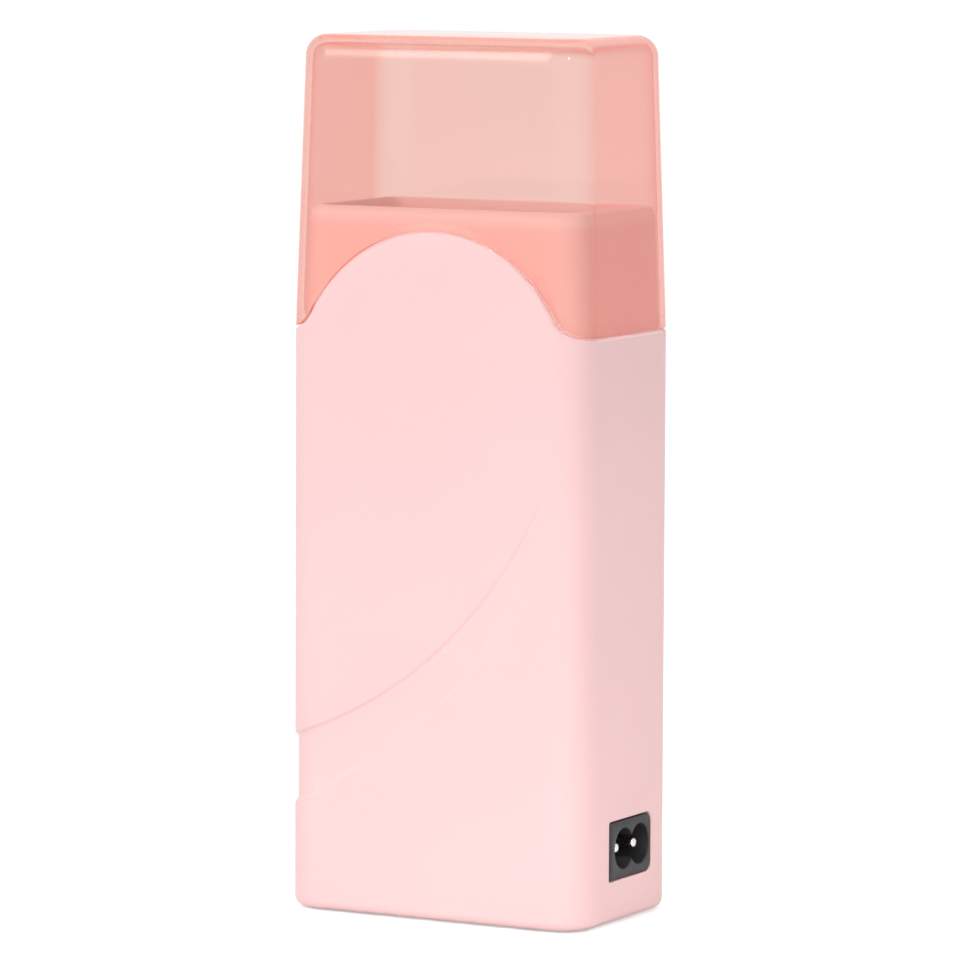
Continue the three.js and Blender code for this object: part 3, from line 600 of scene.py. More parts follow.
@dataclass(frozen=True)
class DrySurface:
    """A dull surface: ceramic, mica, woven sleeve, wire or rubber."""

    name: str
    colour: Colour
    second: Colour
    roughness: float
    grain: float
    grain_depth: float
    stretch: Triple = (1, 1, 1)
    rubbed_size: float = 7.0
    roughness_spread: Pair = (-0.06, 0.06)

    def material(self) -> bpy.types.Material:
        """Makes the material.

        Returns:
            The material.
        """
        graph = Graph(bpy.data.materials.new(self.name))
        grain = graph.noise(self.grain, detail=4, stretch=self.stretch)
        low, high = (self.roughness + part for part in self.roughness_spread)
        return graph.surface(graph.add(PRINCIPLED, {
            "Base Color": graph.blend(graph.spread(grain, 0, 1), self.colour, self.second),
            "Roughness": graph.spread(graph.noise(self.rubbed_size), low, high),
            "Normal": graph.bump(grain, self.grain_depth),
        }))


class Finish(Enum):
    """The finishes of the heater's pieces, by the names of their materials."""

    SHELL = MouldedPlastic("shell_pink", colour=(0.87, 0.572, 0.57), roughness=0.42)
    # The neck is the shell's plastic, painted lighter to make up for the light that the cap takes from it.
    NECK = MouldedPlastic("neck_pink", colour=(0.98, 0.605, 0.56), roughness=0.45, painted_edge_highlight=1.12,
                          rim_painted_light=(1.0, 0.725, 0.695))
    CAP = ClearPlastic("cap_coral", tint=(0.938, 0.825, 0.805), slanted_tint=(0.88, 0.07, 0.0),
                       absorbs=(0.008, 0.062, 0.08))
    SOCKET = MouldedPlastic("inlet_black", colour=(0.022, 0.02, 0.022), roughness=0.5, mottle=0.1, grain=0.5,
                            grain_depth=0.012)
    NICKEL = Metal("pin_nickel", colour=(0.78, 0.76, 0.72), roughness=0.2, marks=(6, 1, 1), mark_size=0.2,
                   mark_depth=0.0015)
    ZINC = Metal("screw_zinc", colour=(0.62, 0.62, 0.63), roughness=0.32, marks=(1, 1, 1), mark_size=0.3,
                 mark_depth=0.003)
    ALUMINIUM = Metal("well_aluminium", colour=(0.72, 0.74, 0.77), roughness=0.34, marks=(1, 1, 24), mark_size=0.22,
                      mark_depth=0.006)
    SPRING = Metal("spring_strip", colour=(0.5, 0.51, 0.53), roughness=0.33, marks=(14, 1, 14), mark_size=0.2,
                   mark_depth=0.003)
    BRASS = Metal("electrode_brass", colour=(0.72, 0.52, 0.2), roughness=0.34, marks=(1, 14, 14), mark_size=0.2,
                  mark_depth=0.003)
    MICA = DrySurface("mica_sheet", colour=(0.5, 0.36, 0.18), second=(0.62, 0.47, 0.27), roughness=0.5, grain=2.4,
                      grain_depth=0.02, stretch=(2, 1, 2))
    CERAMIC = DrySurface("heater_ceramic", colour=(0.15, 0.16, 0.17), second=(0.2, 0.21, 0.22), roughness=0.75,
                         grain=0.4, grain_depth=0.01)
    HOLDER = DrySurface("holder_plastic", colour=(0.8, 0.77, 0.68), second=(0.86, 0.83, 0.75), roughness=0.6,
                        grain=0.8, grain_depth=0.006)
    SWITCH = DrySurface("switch_case", colour=(0.014, 0.014, 0.017), second=(0.022, 0.022, 0.026), roughness=0.5,
                        grain=0.6, grain_depth=0.006)
    SLEEVE = DrySurface("fuse_sleeve", colour=(0.72, 0.66, 0.54), second=(0.8, 0.75, 0.64), roughness=0.8,
                        grain=0.5, grain_depth=0.05, stretch=(1, 1, 2.5))
    BROWN = DrySurface("lead_brown", colour=(0.15, 0.05, 0.02), second=(0.18, 0.065, 0.03), roughness=0.45,
                       grain=1.5, grain_depth=0.004)
    BLUE = DrySurface("lead_blue", colour=(0.03, 0.11, 0.36), second=(0.04, 0.13, 0.4), roughness=0.45, grain=1.5,
                      grain_depth=0.004)
    WHITE = DrySurface("lead_white", colour=(0.72, 0.72, 0.7), second=(0.85, 0.85, 0.83), roughness=0.8, grain=0.5,
                       grain_depth=0.06, stretch=(1, 1, 2))
    RUBBER = DrySurface("foot_rubber", colour=(0.27, 0.25, 0.25), second=(0.32, 0.3, 0.3), roughness=0.85,
                        grain=0.35, grain_depth=0.012)


class Dresser:
    """Gives each piece its material, and says where it belongs."""

    def __init__(self) -> None:
        """Starts with no materials made."""
        self._materials: dict[Finish, bpy.types.Material] = {}

    def paint(self, piece: Piece, finish: Finish) -> None:
        """Gives a piece its material, made once, and shades it smoothly between its sharp edges.

        Args:
            piece: The piece.
            finish: Its finish.
        """
        if finish not in self._materials:
            self._materials[finish] = finish.value.material()
        piece.data.materials.clear()
        piece.data.materials.append(self._materials[finish])
        piece.data.shade_smooth()
        piece.data.set_sharp_from_angle(angle=SHARP_ANGLE)

    def dress(self, piece: Piece, finish: Finish, body: str, node: str, slot: str) -> None:
        """Finishes a piece, and says where it belongs.

        Args:
            piece: The piece.
            finish: Its finish.
            body: Body that it rides on.
            node: Node that it stands for.
            slot: Material slot of the part; not used.
        """
        self.paint(piece, finish)
        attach(piece, body)
        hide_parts(node)
        log.info("%s: %d faces, for %s", piece.name, len(piece.data.polygons), node)


# The outer form


@dataclass(frozen=True)
class HeaterForm:
    """The outer form that the housing and the cap share.

    A station is a length along the outline of the base, from the front end of the flat right side, over the back.
    """

    half_width: float = 36.75
    half_depth: float = 23.0
    corner: float = 8.0
    seam: float = 127.6
    closed_height: float = 191.5
    draft: float = math.tan(math.radians(1.5))
    dome_crest: float = 149.7
    wave_half_span: float = 36.08
    wave_fillet: float = 7.0
    slope_step: float = 0.02
    solid_step: float = 1.5

    @property
    def dome_radius(self) -> float:
        """Radius of the wave's dome."""
        rise = self.dome_crest - self.seam
        return (self.wave_half_span**2 + rise**2) / (2 * rise) - self.wave_fillet

    @property
    def flat_x(self) -> float:
        """Half the width of the flat front."""
        return self.half_width - self.corner

    @property
    def flat_y(self) -> float:
        """Half the depth of the flat sides."""
        return self.half_depth - self.corner

    @property
    def knots(self) -> np.ndarray:
        """The stations where a flat side meets a corner."""
        arc = QUARTER * self.corner
        return np.cumsum([0, 2 * self.flat_y, arc, 2 * self.flat_x, arc, 2 * self.flat_y, arc, 2 * self.flat_x, arc])

    def stations(self, front_step: float) -> np.ndarray:
        """Gives stations all round, close at the corners and at a given step in front.

        Args:
            front_step: Step along the front.

        Returns:
            The stations.
        """
        around = (SIDE_STEPS, CORNER_STEPS, BACK_STEPS, CORNER_STEPS)
        counts = [*around, SIDE_STEPS, CORNER_STEPS, round(2 * self.flat_x / front_step), CORNER_STEPS]
        knots = self.knots
        return np.concatenate([np.linspace(knots[side], knots[side + 1], count, endpoint=False)
                               for side, count in enumerate(counts)])

    def facing(self, stations: np.ndarray) -> np.ndarray:
        """Gives the direction that the surface faces in plan, in radians."""
        return np.interp(stations, self.knots, KNOT_TURNS)

    def plan(self, stations: np.ndarray, flat: tuple[Heights, Heights], radius: Heights) -> tuple[Heights, Heights]:
        """Gives places in plan on a rectangle with round corners.

        Args:
            stations: Stations of the points.
            flat: Half its flat width and depth.
            radius: Radius of its corners.

        Returns:
            The places in X and Y.
        """
        turn = self.facing(stations)
        side = np.interp(stations, self.knots, KNOT_SIDES)
        back = np.interp(stations, self.knots, KNOT_BACKS)
        return side * flat[0] + radius * np.cos(turn), back * flat[1] + radius * np.sin(turn)

    def ring(self, stations: np.ndarray, inset: Heights, height: Heights) -> np.ndarray:
        """Gives points of the form, drawn in by an inset.

        Args:
            stations: Stations of the points.
            inset: How far they lie inside the outer form.
            height: Their heights.

        Returns:
            The points.
        """
        drawn = np.maximum(0, height - self.seam) * self.draft
        x, y = self.plan(stations, (self.flat_x - drawn, self.flat_y - drawn), self.corner - inset)
        return np.column_stack([x, y, np.broadcast_to(height, x.shape)])

    def edge(self, points: np.ndarray, gap: float = 0) -> np.ndarray:
        """Gives the height of the wave edge above points in plan.

        Args:
            points: The points.
            gap: How far the edge is raised.

        Returns:
            The heights.
        """
        centre = self.dome_crest - self.dome_radius
        fillet_centre = self.seam + self.wave_fillet
        span = self.wave_half_span
        meets = (self.dome_radius + gap) * math.cos(math.atan2(fillet_centre - centre, span))
        away = np.abs(points[:, 0])
        dome = centre + np.sqrt(np.maximum(0, (self.dome_radius + gap) ** 2 - away**2))
        fillet = fillet_centre - np.sqrt(np.maximum(0, (self.wave_fillet - gap) ** 2 - (span - away) ** 2))
        wave = np.where(away < meets, dome, np.where(away < span, fillet, self.seam + gap))
        return np.where(points[:, 1] < -self.flat_y, wave, self.seam + gap)

    def edge_line(self, stations: np.ndarray, inset: Heights, gap: float = 0) -> tuple[np.ndarray, np.ndarray]:
        """Gives the height and the slope of a wall's edge.

        Args:
            stations: Stations on the wall.
            inset: How far the wall's face lies inside the outer form.
            gap: How far the edge lies above the wave edge.

        Returns:
            The heights and the slopes, in radians.
        """
        before, here, after = (self.edge(self.ring(stations + move, inset, self.seam), gap)
                               for move in (-self.slope_step, 0, self.slope_step))
        return here, np.arctan((after - before) / (2 * self.slope_step))

    def edge_ring(self, stations: np.ndarray, inset: Heights, gap: float, back_off: float,
                  own: Heights = 0) -> np.ndarray:
        """Gives points along a wall's edge, moved up from it along the wall by back_off, and drawn in by own."""
        height, slope = self.edge_line(stations, inset, gap)
        return self.ring(stations - back_off * np.sin(slope), inset + own, height + back_off * np.cos(slope))

    def core(self, inset: float, top: float) -> Piece:
        """Makes a closed block of the form, drawn in at its sides and its base, up to a height."""
        stations = self.stations(self.solid_step)
        return rings_piece("core", [self.ring(stations, inset, height) for height in (inset, top)])


@dataclass(frozen=True)
class SunkenBand:
    """The band that is sunk in the front and runs round the left front corner."""

    form: HeaterForm
    tip_x: float = 30.2
    tip_height: float = 101.2
    upper_side: float = 37.6
    lower_side: float = 22.9
    upper_radius: float = 101.5
    lower_radius: float = 106.2
    depth: float = 0.55
    upper_softness: float = 1.0
    lower_softness: float = 1.7
    fade: float = 0.24

    def _arc(self, side_height: float, radius: float, x: np.ndarray) -> tuple[np.ndarray, np.ndarray]:
        """Gives the arc of one edge of the band across the front.

        Args:
            side_height: Height of the edge at the left side.
            radius: Radius of the arc.
            x: Places across the front.

        Returns:
            The height and the slope of the edge at each place.
        """
        left = np.array([-self.form.half_width, side_height])
        tip = np.array([self.tip_x, self.tip_height])
        along = tip - left
        reach = math.sqrt(radius**2 - (along @ along) / 4)
        centre = (left + tip) / 2 + np.array([-along[1], along[0]]) / np.linalg.norm(along) * reach
        run = np.clip(x, left[0], tip[0]) - centre[0]
        fall = np.sqrt(radius**2 - run**2)
        return centre[1] - fall, run / fall

    def _edge(self, side_height: float, radius: float, softness: float, plan: np.ndarray,
              facing: np.ndarray) -> tuple[np.ndarray, np.ndarray]:
        """Gives one edge of the band at each column of the housing.

        Args:
            side_height: Height of the edge at the left side.
            radius: Radius of its arc.
            softness: Width of its soft step.
            plan: Points of the columns.
            facing: Direction that each faces in plan.

        Returns:
            The heights of the edge, and the height of its soft step.
        """
        height, slope = self._arc(side_height, radius, plan[:, 0])
        soft = softness * np.sqrt(1 + (slope * np.abs(np.sin(facing))) ** 2)
        behind = np.sin(facing) > 0
        share = np.interp(plan[:, 0], [-self.form.flat_x, self.form.flat_x], [0, 1])
        height = np.where(behind, side_height + share * (self.tip_height - side_height), height)
        return height, np.where(behind | (plan[:, 0] > self.tip_x), softness, soft)

    def edges(self, plan: np.ndarray, facing: np.ndarray) -> tuple[tuple[np.ndarray, np.ndarray], ...]:
        """Gives the lower and the upper edge of the band, each as its heights and those of its soft step."""
        lower = self._edge(self.lower_side, self.lower_radius, self.lower_softness, plan, facing)
        return lower, self._edge(self.upper_side, self.upper_radius, self.upper_softness, plan, facing)

    def sink(self, plan: np.ndarray, facing: np.ndarray, heights: np.ndarray) -> np.ndarray:
        """Gives how deep the band is at points of the surface.

        Args:
            plan: The points in plan.
            facing: Direction that each faces in plan.
            heights: Their heights.

        Returns:
            The depths.
        """
        (low, low_soft), (high, high_soft) = self.edges(plan, facing)
        side_end = self.form.flat_y
        corner_y = -self.form.half_depth + self.depth
        corner_x = -self.form.half_width + self.depth
        aside = np.maximum(0, -np.cos(facing)) * np.clip((side_end - plan[:, 1]) / (side_end - corner_y), 0, 1)
        across = np.clip((self.tip_x - plan[:, 0]) / (self.tip_x - corner_x), 0, 1)
        ahead = np.maximum(0, -np.sin(facing)) * across**self.fade
        aside = np.where(np.sin(facing) > 0, 0, aside)
        up = np.clip((heights - low) / low_soft + 0.5, 0, 1)
        down = np.clip((high - heights) / high_soft + 0.5, 0, 1)
        return self.depth * (aside + ahead) * (eased(up) * eased(down))


# Sub-assemblies


@dataclass(frozen=True)
class Housing:
    """The pink housing: a front shell with the base, and the cover that closes its back."""

    form: HeaterForm
    band: SunkenBand
    wall: float = 2.0
    skin: float = 1.0
    base_round: float = 2.0
    edge_round: float = 0.75
    inner_round: float = 0.3
    parting_round: float = 0.3
    front_parting: float = 19.3
    rear_parting: float = 19.6
    parting_depth: float = 0.9
    full_wall_from: float = 124.0
    lap: float = 0.05
    web: float = 0.005
    least_band: float = 0.4
    side_steps: int = 12
    corner_steps: int = 24
    front_steps: int = 116
    back_steps: int = 24
    step_rows: int = 8
    lean_power: int = 3

    def _corner_columns(self) -> list[tuple[float, float, float, float]]:
        """Lists a rear corner's columns from the side to the back.

        Returns:
            For each column, two places in Y behind the flat side, the share between them, and its sink.
        """
        front, rear = (place - self.form.flat_y for place in (self.front_parting, self.rear_parting))
        groove = round_over(self.parting_round, steps=4)[1:]
        columns = [(0, front - self.parting_round, share, 0) for share in (*shares(steps=8), 1)]
        columns += [(front - inset, front - inset, 0, depth) for inset, depth in groove]
        columns += [(place, place, 0, self.parting_depth) for place in (front, rear)]
        columns += [(rear + inset, rear + inset, 0, depth) for inset, depth in reversed(groove)]
        return columns + [(rear + self.parting_round, math.inf, share, 0) for share in (0, *shares(steps=10))]

    def _stations(self, inset: float, sunk: bool) -> tuple[np.ndarray, np.ndarray]:
        """Gives the columns of the housing at an inset.

        Args:
            inset: How far the ring lies inside the outer form.
            sunk: True to give the columns of the parting grooves their depth.

        Returns:
            The station and the own sink of each column.
        """
        corner, knots = self.form.corner, self.form.knots
        places, depths = [], []
        for near, far, share, depth in self._corner_columns():
            own = depth * max(0.0, 1 - inset) if sunk else 0.0
            turns = [math.asin(min(1.0, place / (corner - inset - own))) for place in (near, far)]
            places.append(corner * (turns[0] + share * (turns[1] - turns[0])))
            depths.append(own)
        places, depths = np.array(places), np.array(depths)
        runs = [(np.linspace(knots[0], knots[1], self.side_steps + 1), 0.0), (knots[1] + places, depths),
                (np.linspace(knots[2], knots[3], self.back_steps + 1), 0.0), (knots[4] - places[::-1], depths[::-1])]
        for side, count in enumerate((self.side_steps, self.corner_steps, self.front_steps, self.corner_steps), 4):
            runs.append((np.linspace(knots[side], knots[side + 1], count, endpoint=False), 0.0))
        sinks = [np.broadcast_to(depth, run.shape) for run, depth in runs]
        return np.concatenate([run for run, _ in runs]), np.concatenate(sinks)

    def _ring(self, inset: float, heights: Heights, slide: Heights = 0, sunk: bool = True) -> np.ndarray:
        """Gives a ring of the housing.

        Args:
            inset: How far it lies inside the outer form.
            heights: Heights of its points.
            slide: How far its points are moved along the outline.
            sunk: True to sink the band and the parting grooves in it.

        Returns:
            The points.
        """
        stations, own = self._stations(inset, sunk)
        heights = np.broadcast_to(np.asarray(heights, float), stations.shape)
        places = stations + slide
        plan = self.form.ring(places, 0, heights)
        band = self.band.sink(plan, self.form.facing(places), heights) if sunk else 0
        return self.form.ring(places, inset + own + band, heights)

    def _rows(self, start: Heights, end: Heights, steps: int) -> list[np.ndarray]:
        """Gives the outer rings between two heights, without both."""
        return [self._ring(0, start + share * (end - start)) for share in shares(steps)]

    def _step(self, middle: np.ndarray, soft: np.ndarray) -> list[np.ndarray]:
        """Gives the outer rings over one soft step of the band."""
        return [self._ring(0, middle + soft * place) for place in np.linspace(-0.5, 0.5, self.step_rows)]

    def _outer_rings(self) -> list[np.ndarray]:
        """Gives the outer rings, from the underside to the start of the rounded edge.

        Returns:
            The rings.
        """
        form = self.form
        rings = [self._ring(inset, depth) for inset, depth in round_over(self.base_round, steps=6)]
        stations, _ = self._stations(0, True)
        (low, low_soft), (high, high_soft) = self.band.edges(form.ring(stations, 0, form.seam), form.facing(stations))
        middle = (low + high) / 2
        half = np.maximum((high - low) / 2, self.least_band * (low_soft + high_soft))
        low, high = middle - half, middle + half
        rings += self._rows(self.base_round, low - low_soft / 2, steps=7) + self._step(low, low_soft)
        rings += self._rows(low + low_soft / 2, high - high_soft / 2, steps=5) + self._step(high, high_soft)
        edge, slope = form.edge_line(stations, 0)
        top = edge - self.edge_round * np.cos(slope)
        for share in shares(steps=16):
            slide = share**self.lean_power * self.edge_round * np.sin(slope)
            rings.append(self._ring(0, high + high_soft / 2 + share * (top - high - high_soft / 2), slide))
        return rings

    def _rim_ring(self, inset: float, depth: float) -> np.ndarray:
        """Gives a ring on the rim, a depth below the wave edge, measured square to it."""
        stations, own = self._stations(inset, True)
        return self.form.edge_ring(stations, inset, 0, -depth, own)

    def _edge_rings(self) -> list[np.ndarray]:
        """Gives the rings over the rounded edge and down the inside of the wave.

        Returns:
            The rings.
        """
        rings = [self._rim_ring(inset, depth) for inset, depth in round_up(self.edge_round, steps=5)]
        rings += [self._rim_ring(self.wall - inset, depth) for inset, depth in round_over(self.inner_round, steps=3)]
        stations, _ = self._stations(self.wall, False)
        top = self.form.edge_line(stations, self.wall)[0] - self.inner_round
        for share in (*shares(steps=7), 1):
            rings.append(self._ring(self.wall, top + share * (self.full_wall_from - top), sunk=False))
        return rings

    def _half(self, name: str, node: Piece, ends: Pair) -> Piece:
        """Makes one moulding: the skin between two places in Y, joined to the inner part of its node.

        Args:
            name: Name of the piece.
            node: Node of the frame that it stands for.
            ends: The two places.

        Returns:
            The object, without its openings.
        """
        core = [self._ring(self.skin, height, sunk=False) for height in (self.full_wall_from, self.skin)]
        piece = rings_piece(name, self._outer_rings() + self._edge_rings() + core)
        reach = self.form.half_width + self.form.corner
        tall = self.form.closed_height
        half = (reach, (tall + reach) / 2)
        combine(piece, Cut.KEEP, block("part", Axis.Y, (0, (tall - reach) / 2), half, OVERSHOOT, ends))
        inner = copy_of_node(node, "inner")
        combine(inner, Cut.KEEP, self.form.core(self.skin - self.lap, self.full_wall_from + self.lap))
        combine(piece, Cut.ADD, inner)
        return piece

    def build(self, nodes: dict[str, Piece]) -> tuple[Piece, Piece]:
        """Makes both mouldings, without their openings.

        Args:
            nodes: Nodes of the frame.

        Returns:
            The front shell and the rear cover.
        """
        reach = 2 * self.form.half_depth
        front = self._half("shell_front", nodes["front_shell"], (-reach, self.front_parting + self.web))
        rear = self._half("shell_rear", nodes["rear_cover"], (self.rear_parting - self.web, reach))
        return front, rear

    def dress(self, dresser: Dresser, front: Piece, rear: Piece) -> None:
        """Dresses both mouldings, once they have their openings."""
        dresser.dress(front, Finish.SHELL, "housing", "front_shell", "shell_plastic")
        dresser.dress(rear, Finish.SHELL, "housing", "rear_cover", "shell_plastic")


@dataclass(frozen=True)
class NeckCollar:
    """The pink neck that stands inside the cap, with the mouth of the well in its floor."""

    form: HeaterForm
    inset: float = 2.3
    wall: float = 2.6
    bottom: float = 112.0
    floor: float = 114.0
    top: float = 154.5
    rim_round: float = 2.3
    inner_round: float = 0.3
    floor_round: float = 1.1
    groove_height: float = 119.0
    groove_half: float = 1.0
    groove_inset: float = 3.3
    mouth_half_x: float = 28.5
    mouth_half_y: float = 16.5
    mouth_y: float = -1.3
    mouth_corner: float = 5.0
    mouth_lead: float = 0.8
    lead_margin: float = 0.1
    front_step: float = 2.0

    def _mouth(self, stations: np.ndarray, grow: float, height: float) -> np.ndarray:
        """Gives a ring round the mouth of the well.

        Args:
            stations: Stations of the points.
            grow: How far they lie outside the mouth, except near the front wall.
            height: Height of the ring.

        Returns:
            The points.
        """
        flat = (self.mouth_half_x - self.mouth_corner, self.mouth_half_y - self.mouth_corner)
        x, y = self.form.plan(stations, flat, self.mouth_corner + grow)
        front = self.form.half_depth - self.inset - self.wall - self.lead_margin
        return np.column_stack([x, np.maximum(y + self.mouth_y, -front), np.full(len(x), height)])

    def build(self) -> Piece:
        """Makes the collar.

        Returns:
            The object.
        """
        stations = self.form.stations(self.front_step)
        inner = self.inset + self.wall
        low = self.groove_height - self.groove_half
        high = self.groove_height + self.groove_half
        places = [(self.inset, self.bottom), (self.inset, low), (self.groove_inset, low)]
        places += [(self.groove_inset, high), (self.inset, high)]
        places += [(self.inset, high + share * (self.top - self.rim_round - high)) for share in shares(steps=7)]
        places += [(self.inset + inset, self.top - depth) for inset, depth in round_up(self.rim_round, steps=12)]
        places += [(inner - inset, self.top - depth) for inset, depth in round_over(self.inner_round, steps=4)[1:]]
        fall = self.top - self.inner_round - self.floor - self.floor_round
        places += [(inner, self.top - self.inner_round - share * fall) for share in shares(steps=6)]
        places += [(inner + inset, self.floor + depth) for inset, depth in round_up(self.floor_round, steps=5)]
        rings = [self.form.ring(stations, inset, height) for inset, height in places]
        lead = round_over(self.mouth_lead, steps=5)
        rings += [self._mouth(stations, inset, self.floor - depth) for inset, depth in lead]
        rings.append(self._mouth(stations, 0, self.bottom))
        return rings_piece("neck", rings, True)

    def dress(self, dresser: Dresser) -> None:
        """Makes and dresses the collar."""
        dresser.dress(self.build(), Finish.NECK, "housing", "neck_collar", "shell_plastic")


@dataclass(frozen=True)
class CartridgeWell:
    """The drawn aluminium cup that takes the cartridge."""

    half_x: float = 28.5
    half_y: float = 16.5
    middle_y: float = -1.3
    corner: float = 5.0
    wall: float = 1.0
    flange: float = 1.5
    bottom: float = 43.0
    top: float = 112.0
    bottom_round: float = 3.0
    lip_round: float = 0.25

    def _ring(self, grow: float, height: float) -> tuple[np.ndarray, float]:
        """Gives the outline of the well grown all round, at a height."""
        half = (self.half_x + grow, self.half_y + grow)
        return box_outline((0, self.middle_y), half, [self.corner + grow] * 4, steps=14), height

    def build(self) -> Piece:
        """Makes the well.

        Returns:
            The object.
        """
        edge = self.wall + self.flange
        under = self.top - self.wall
        places = [(self.wall - inset, self.bottom + depth) for inset, depth in round_over(self.bottom_round, steps=8)]
        places += [(self.wall, under), (edge - self.lip_round, under), (edge, under + self.lip_round)]
        places += [(edge, self.top - self.lip_round), (edge - self.lip_round, self.top)]
        places += [(inset, self.top - depth) for inset, depth in round_over(self.wall, steps=6)]
        inner_round = self.bottom_round - self.wall
        places += [(-inset, self.bottom + self.wall + depth) for inset, depth in round_up(inner_round, steps=8)]
        return stack_piece("well", Axis.Z, [self._ring(grow, height) for grow, height in places])

    def dress(self, dresser: Dresser) -> None:
        """Makes and dresses the well."""
        dresser.dress(self.build(), Finish.ALUMINIUM, "housing", "cartridge_well", "well_aluminium")


@dataclass(frozen=True)
class Cap:
    """The clear tinted cover that lifts off."""

    form: HeaterForm
    gap: float = 0.3
    wall: float = 1.5
    top_wall: float = 1.6
    top_round: float = 4.5
    edge_round: float = 0.15
    front_step: float = 0.5
    wall_steps: int = 16

    def _between(self, first: np.ndarray, last: np.ndarray) -> list[np.ndarray]:
        """Gives the rings between two rings of a wall, without either."""
        return [first + share * (last - first) for share in shares(self.wall_steps)]

    def build(self) -> Piece:
        """Makes the cap.

        Returns:
            The object.
        """
        form = self.form
        stations = form.stations(self.front_step)
        inner_top = form.closed_height - self.top_wall
        rings = [form.ring(stations, self.wall + inset, inner_top - depth)
                 for inset, depth in round_over(self.top_round - self.wall, steps=8)]
        rings += self._between(rings[-1], form.edge_ring(stations, self.wall, self.gap, self.edge_round))
        edge = [(self.wall - inset, depth) for inset, depth in round_up(self.edge_round, steps=4)]
        edge += round_over(self.edge_round, steps=4)
        rings += [form.edge_ring(stations, inset, self.gap, depth) for inset, depth in edge]
        rings += self._between(rings[-1], form.ring(stations, 0, form.closed_height - self.top_round))
        rings += [form.ring(stations, inset, form.closed_height - depth)
                  for inset, depth in round_up(self.top_round, steps=14)]
        return rings_piece("clear_cap", rings)

    def dress(self, dresser: Dresser) -> None:
        """Makes and dresses the cap."""
        dresser.dress(self.build(), Finish.CAP, "cap", "cap", "cap_clear")


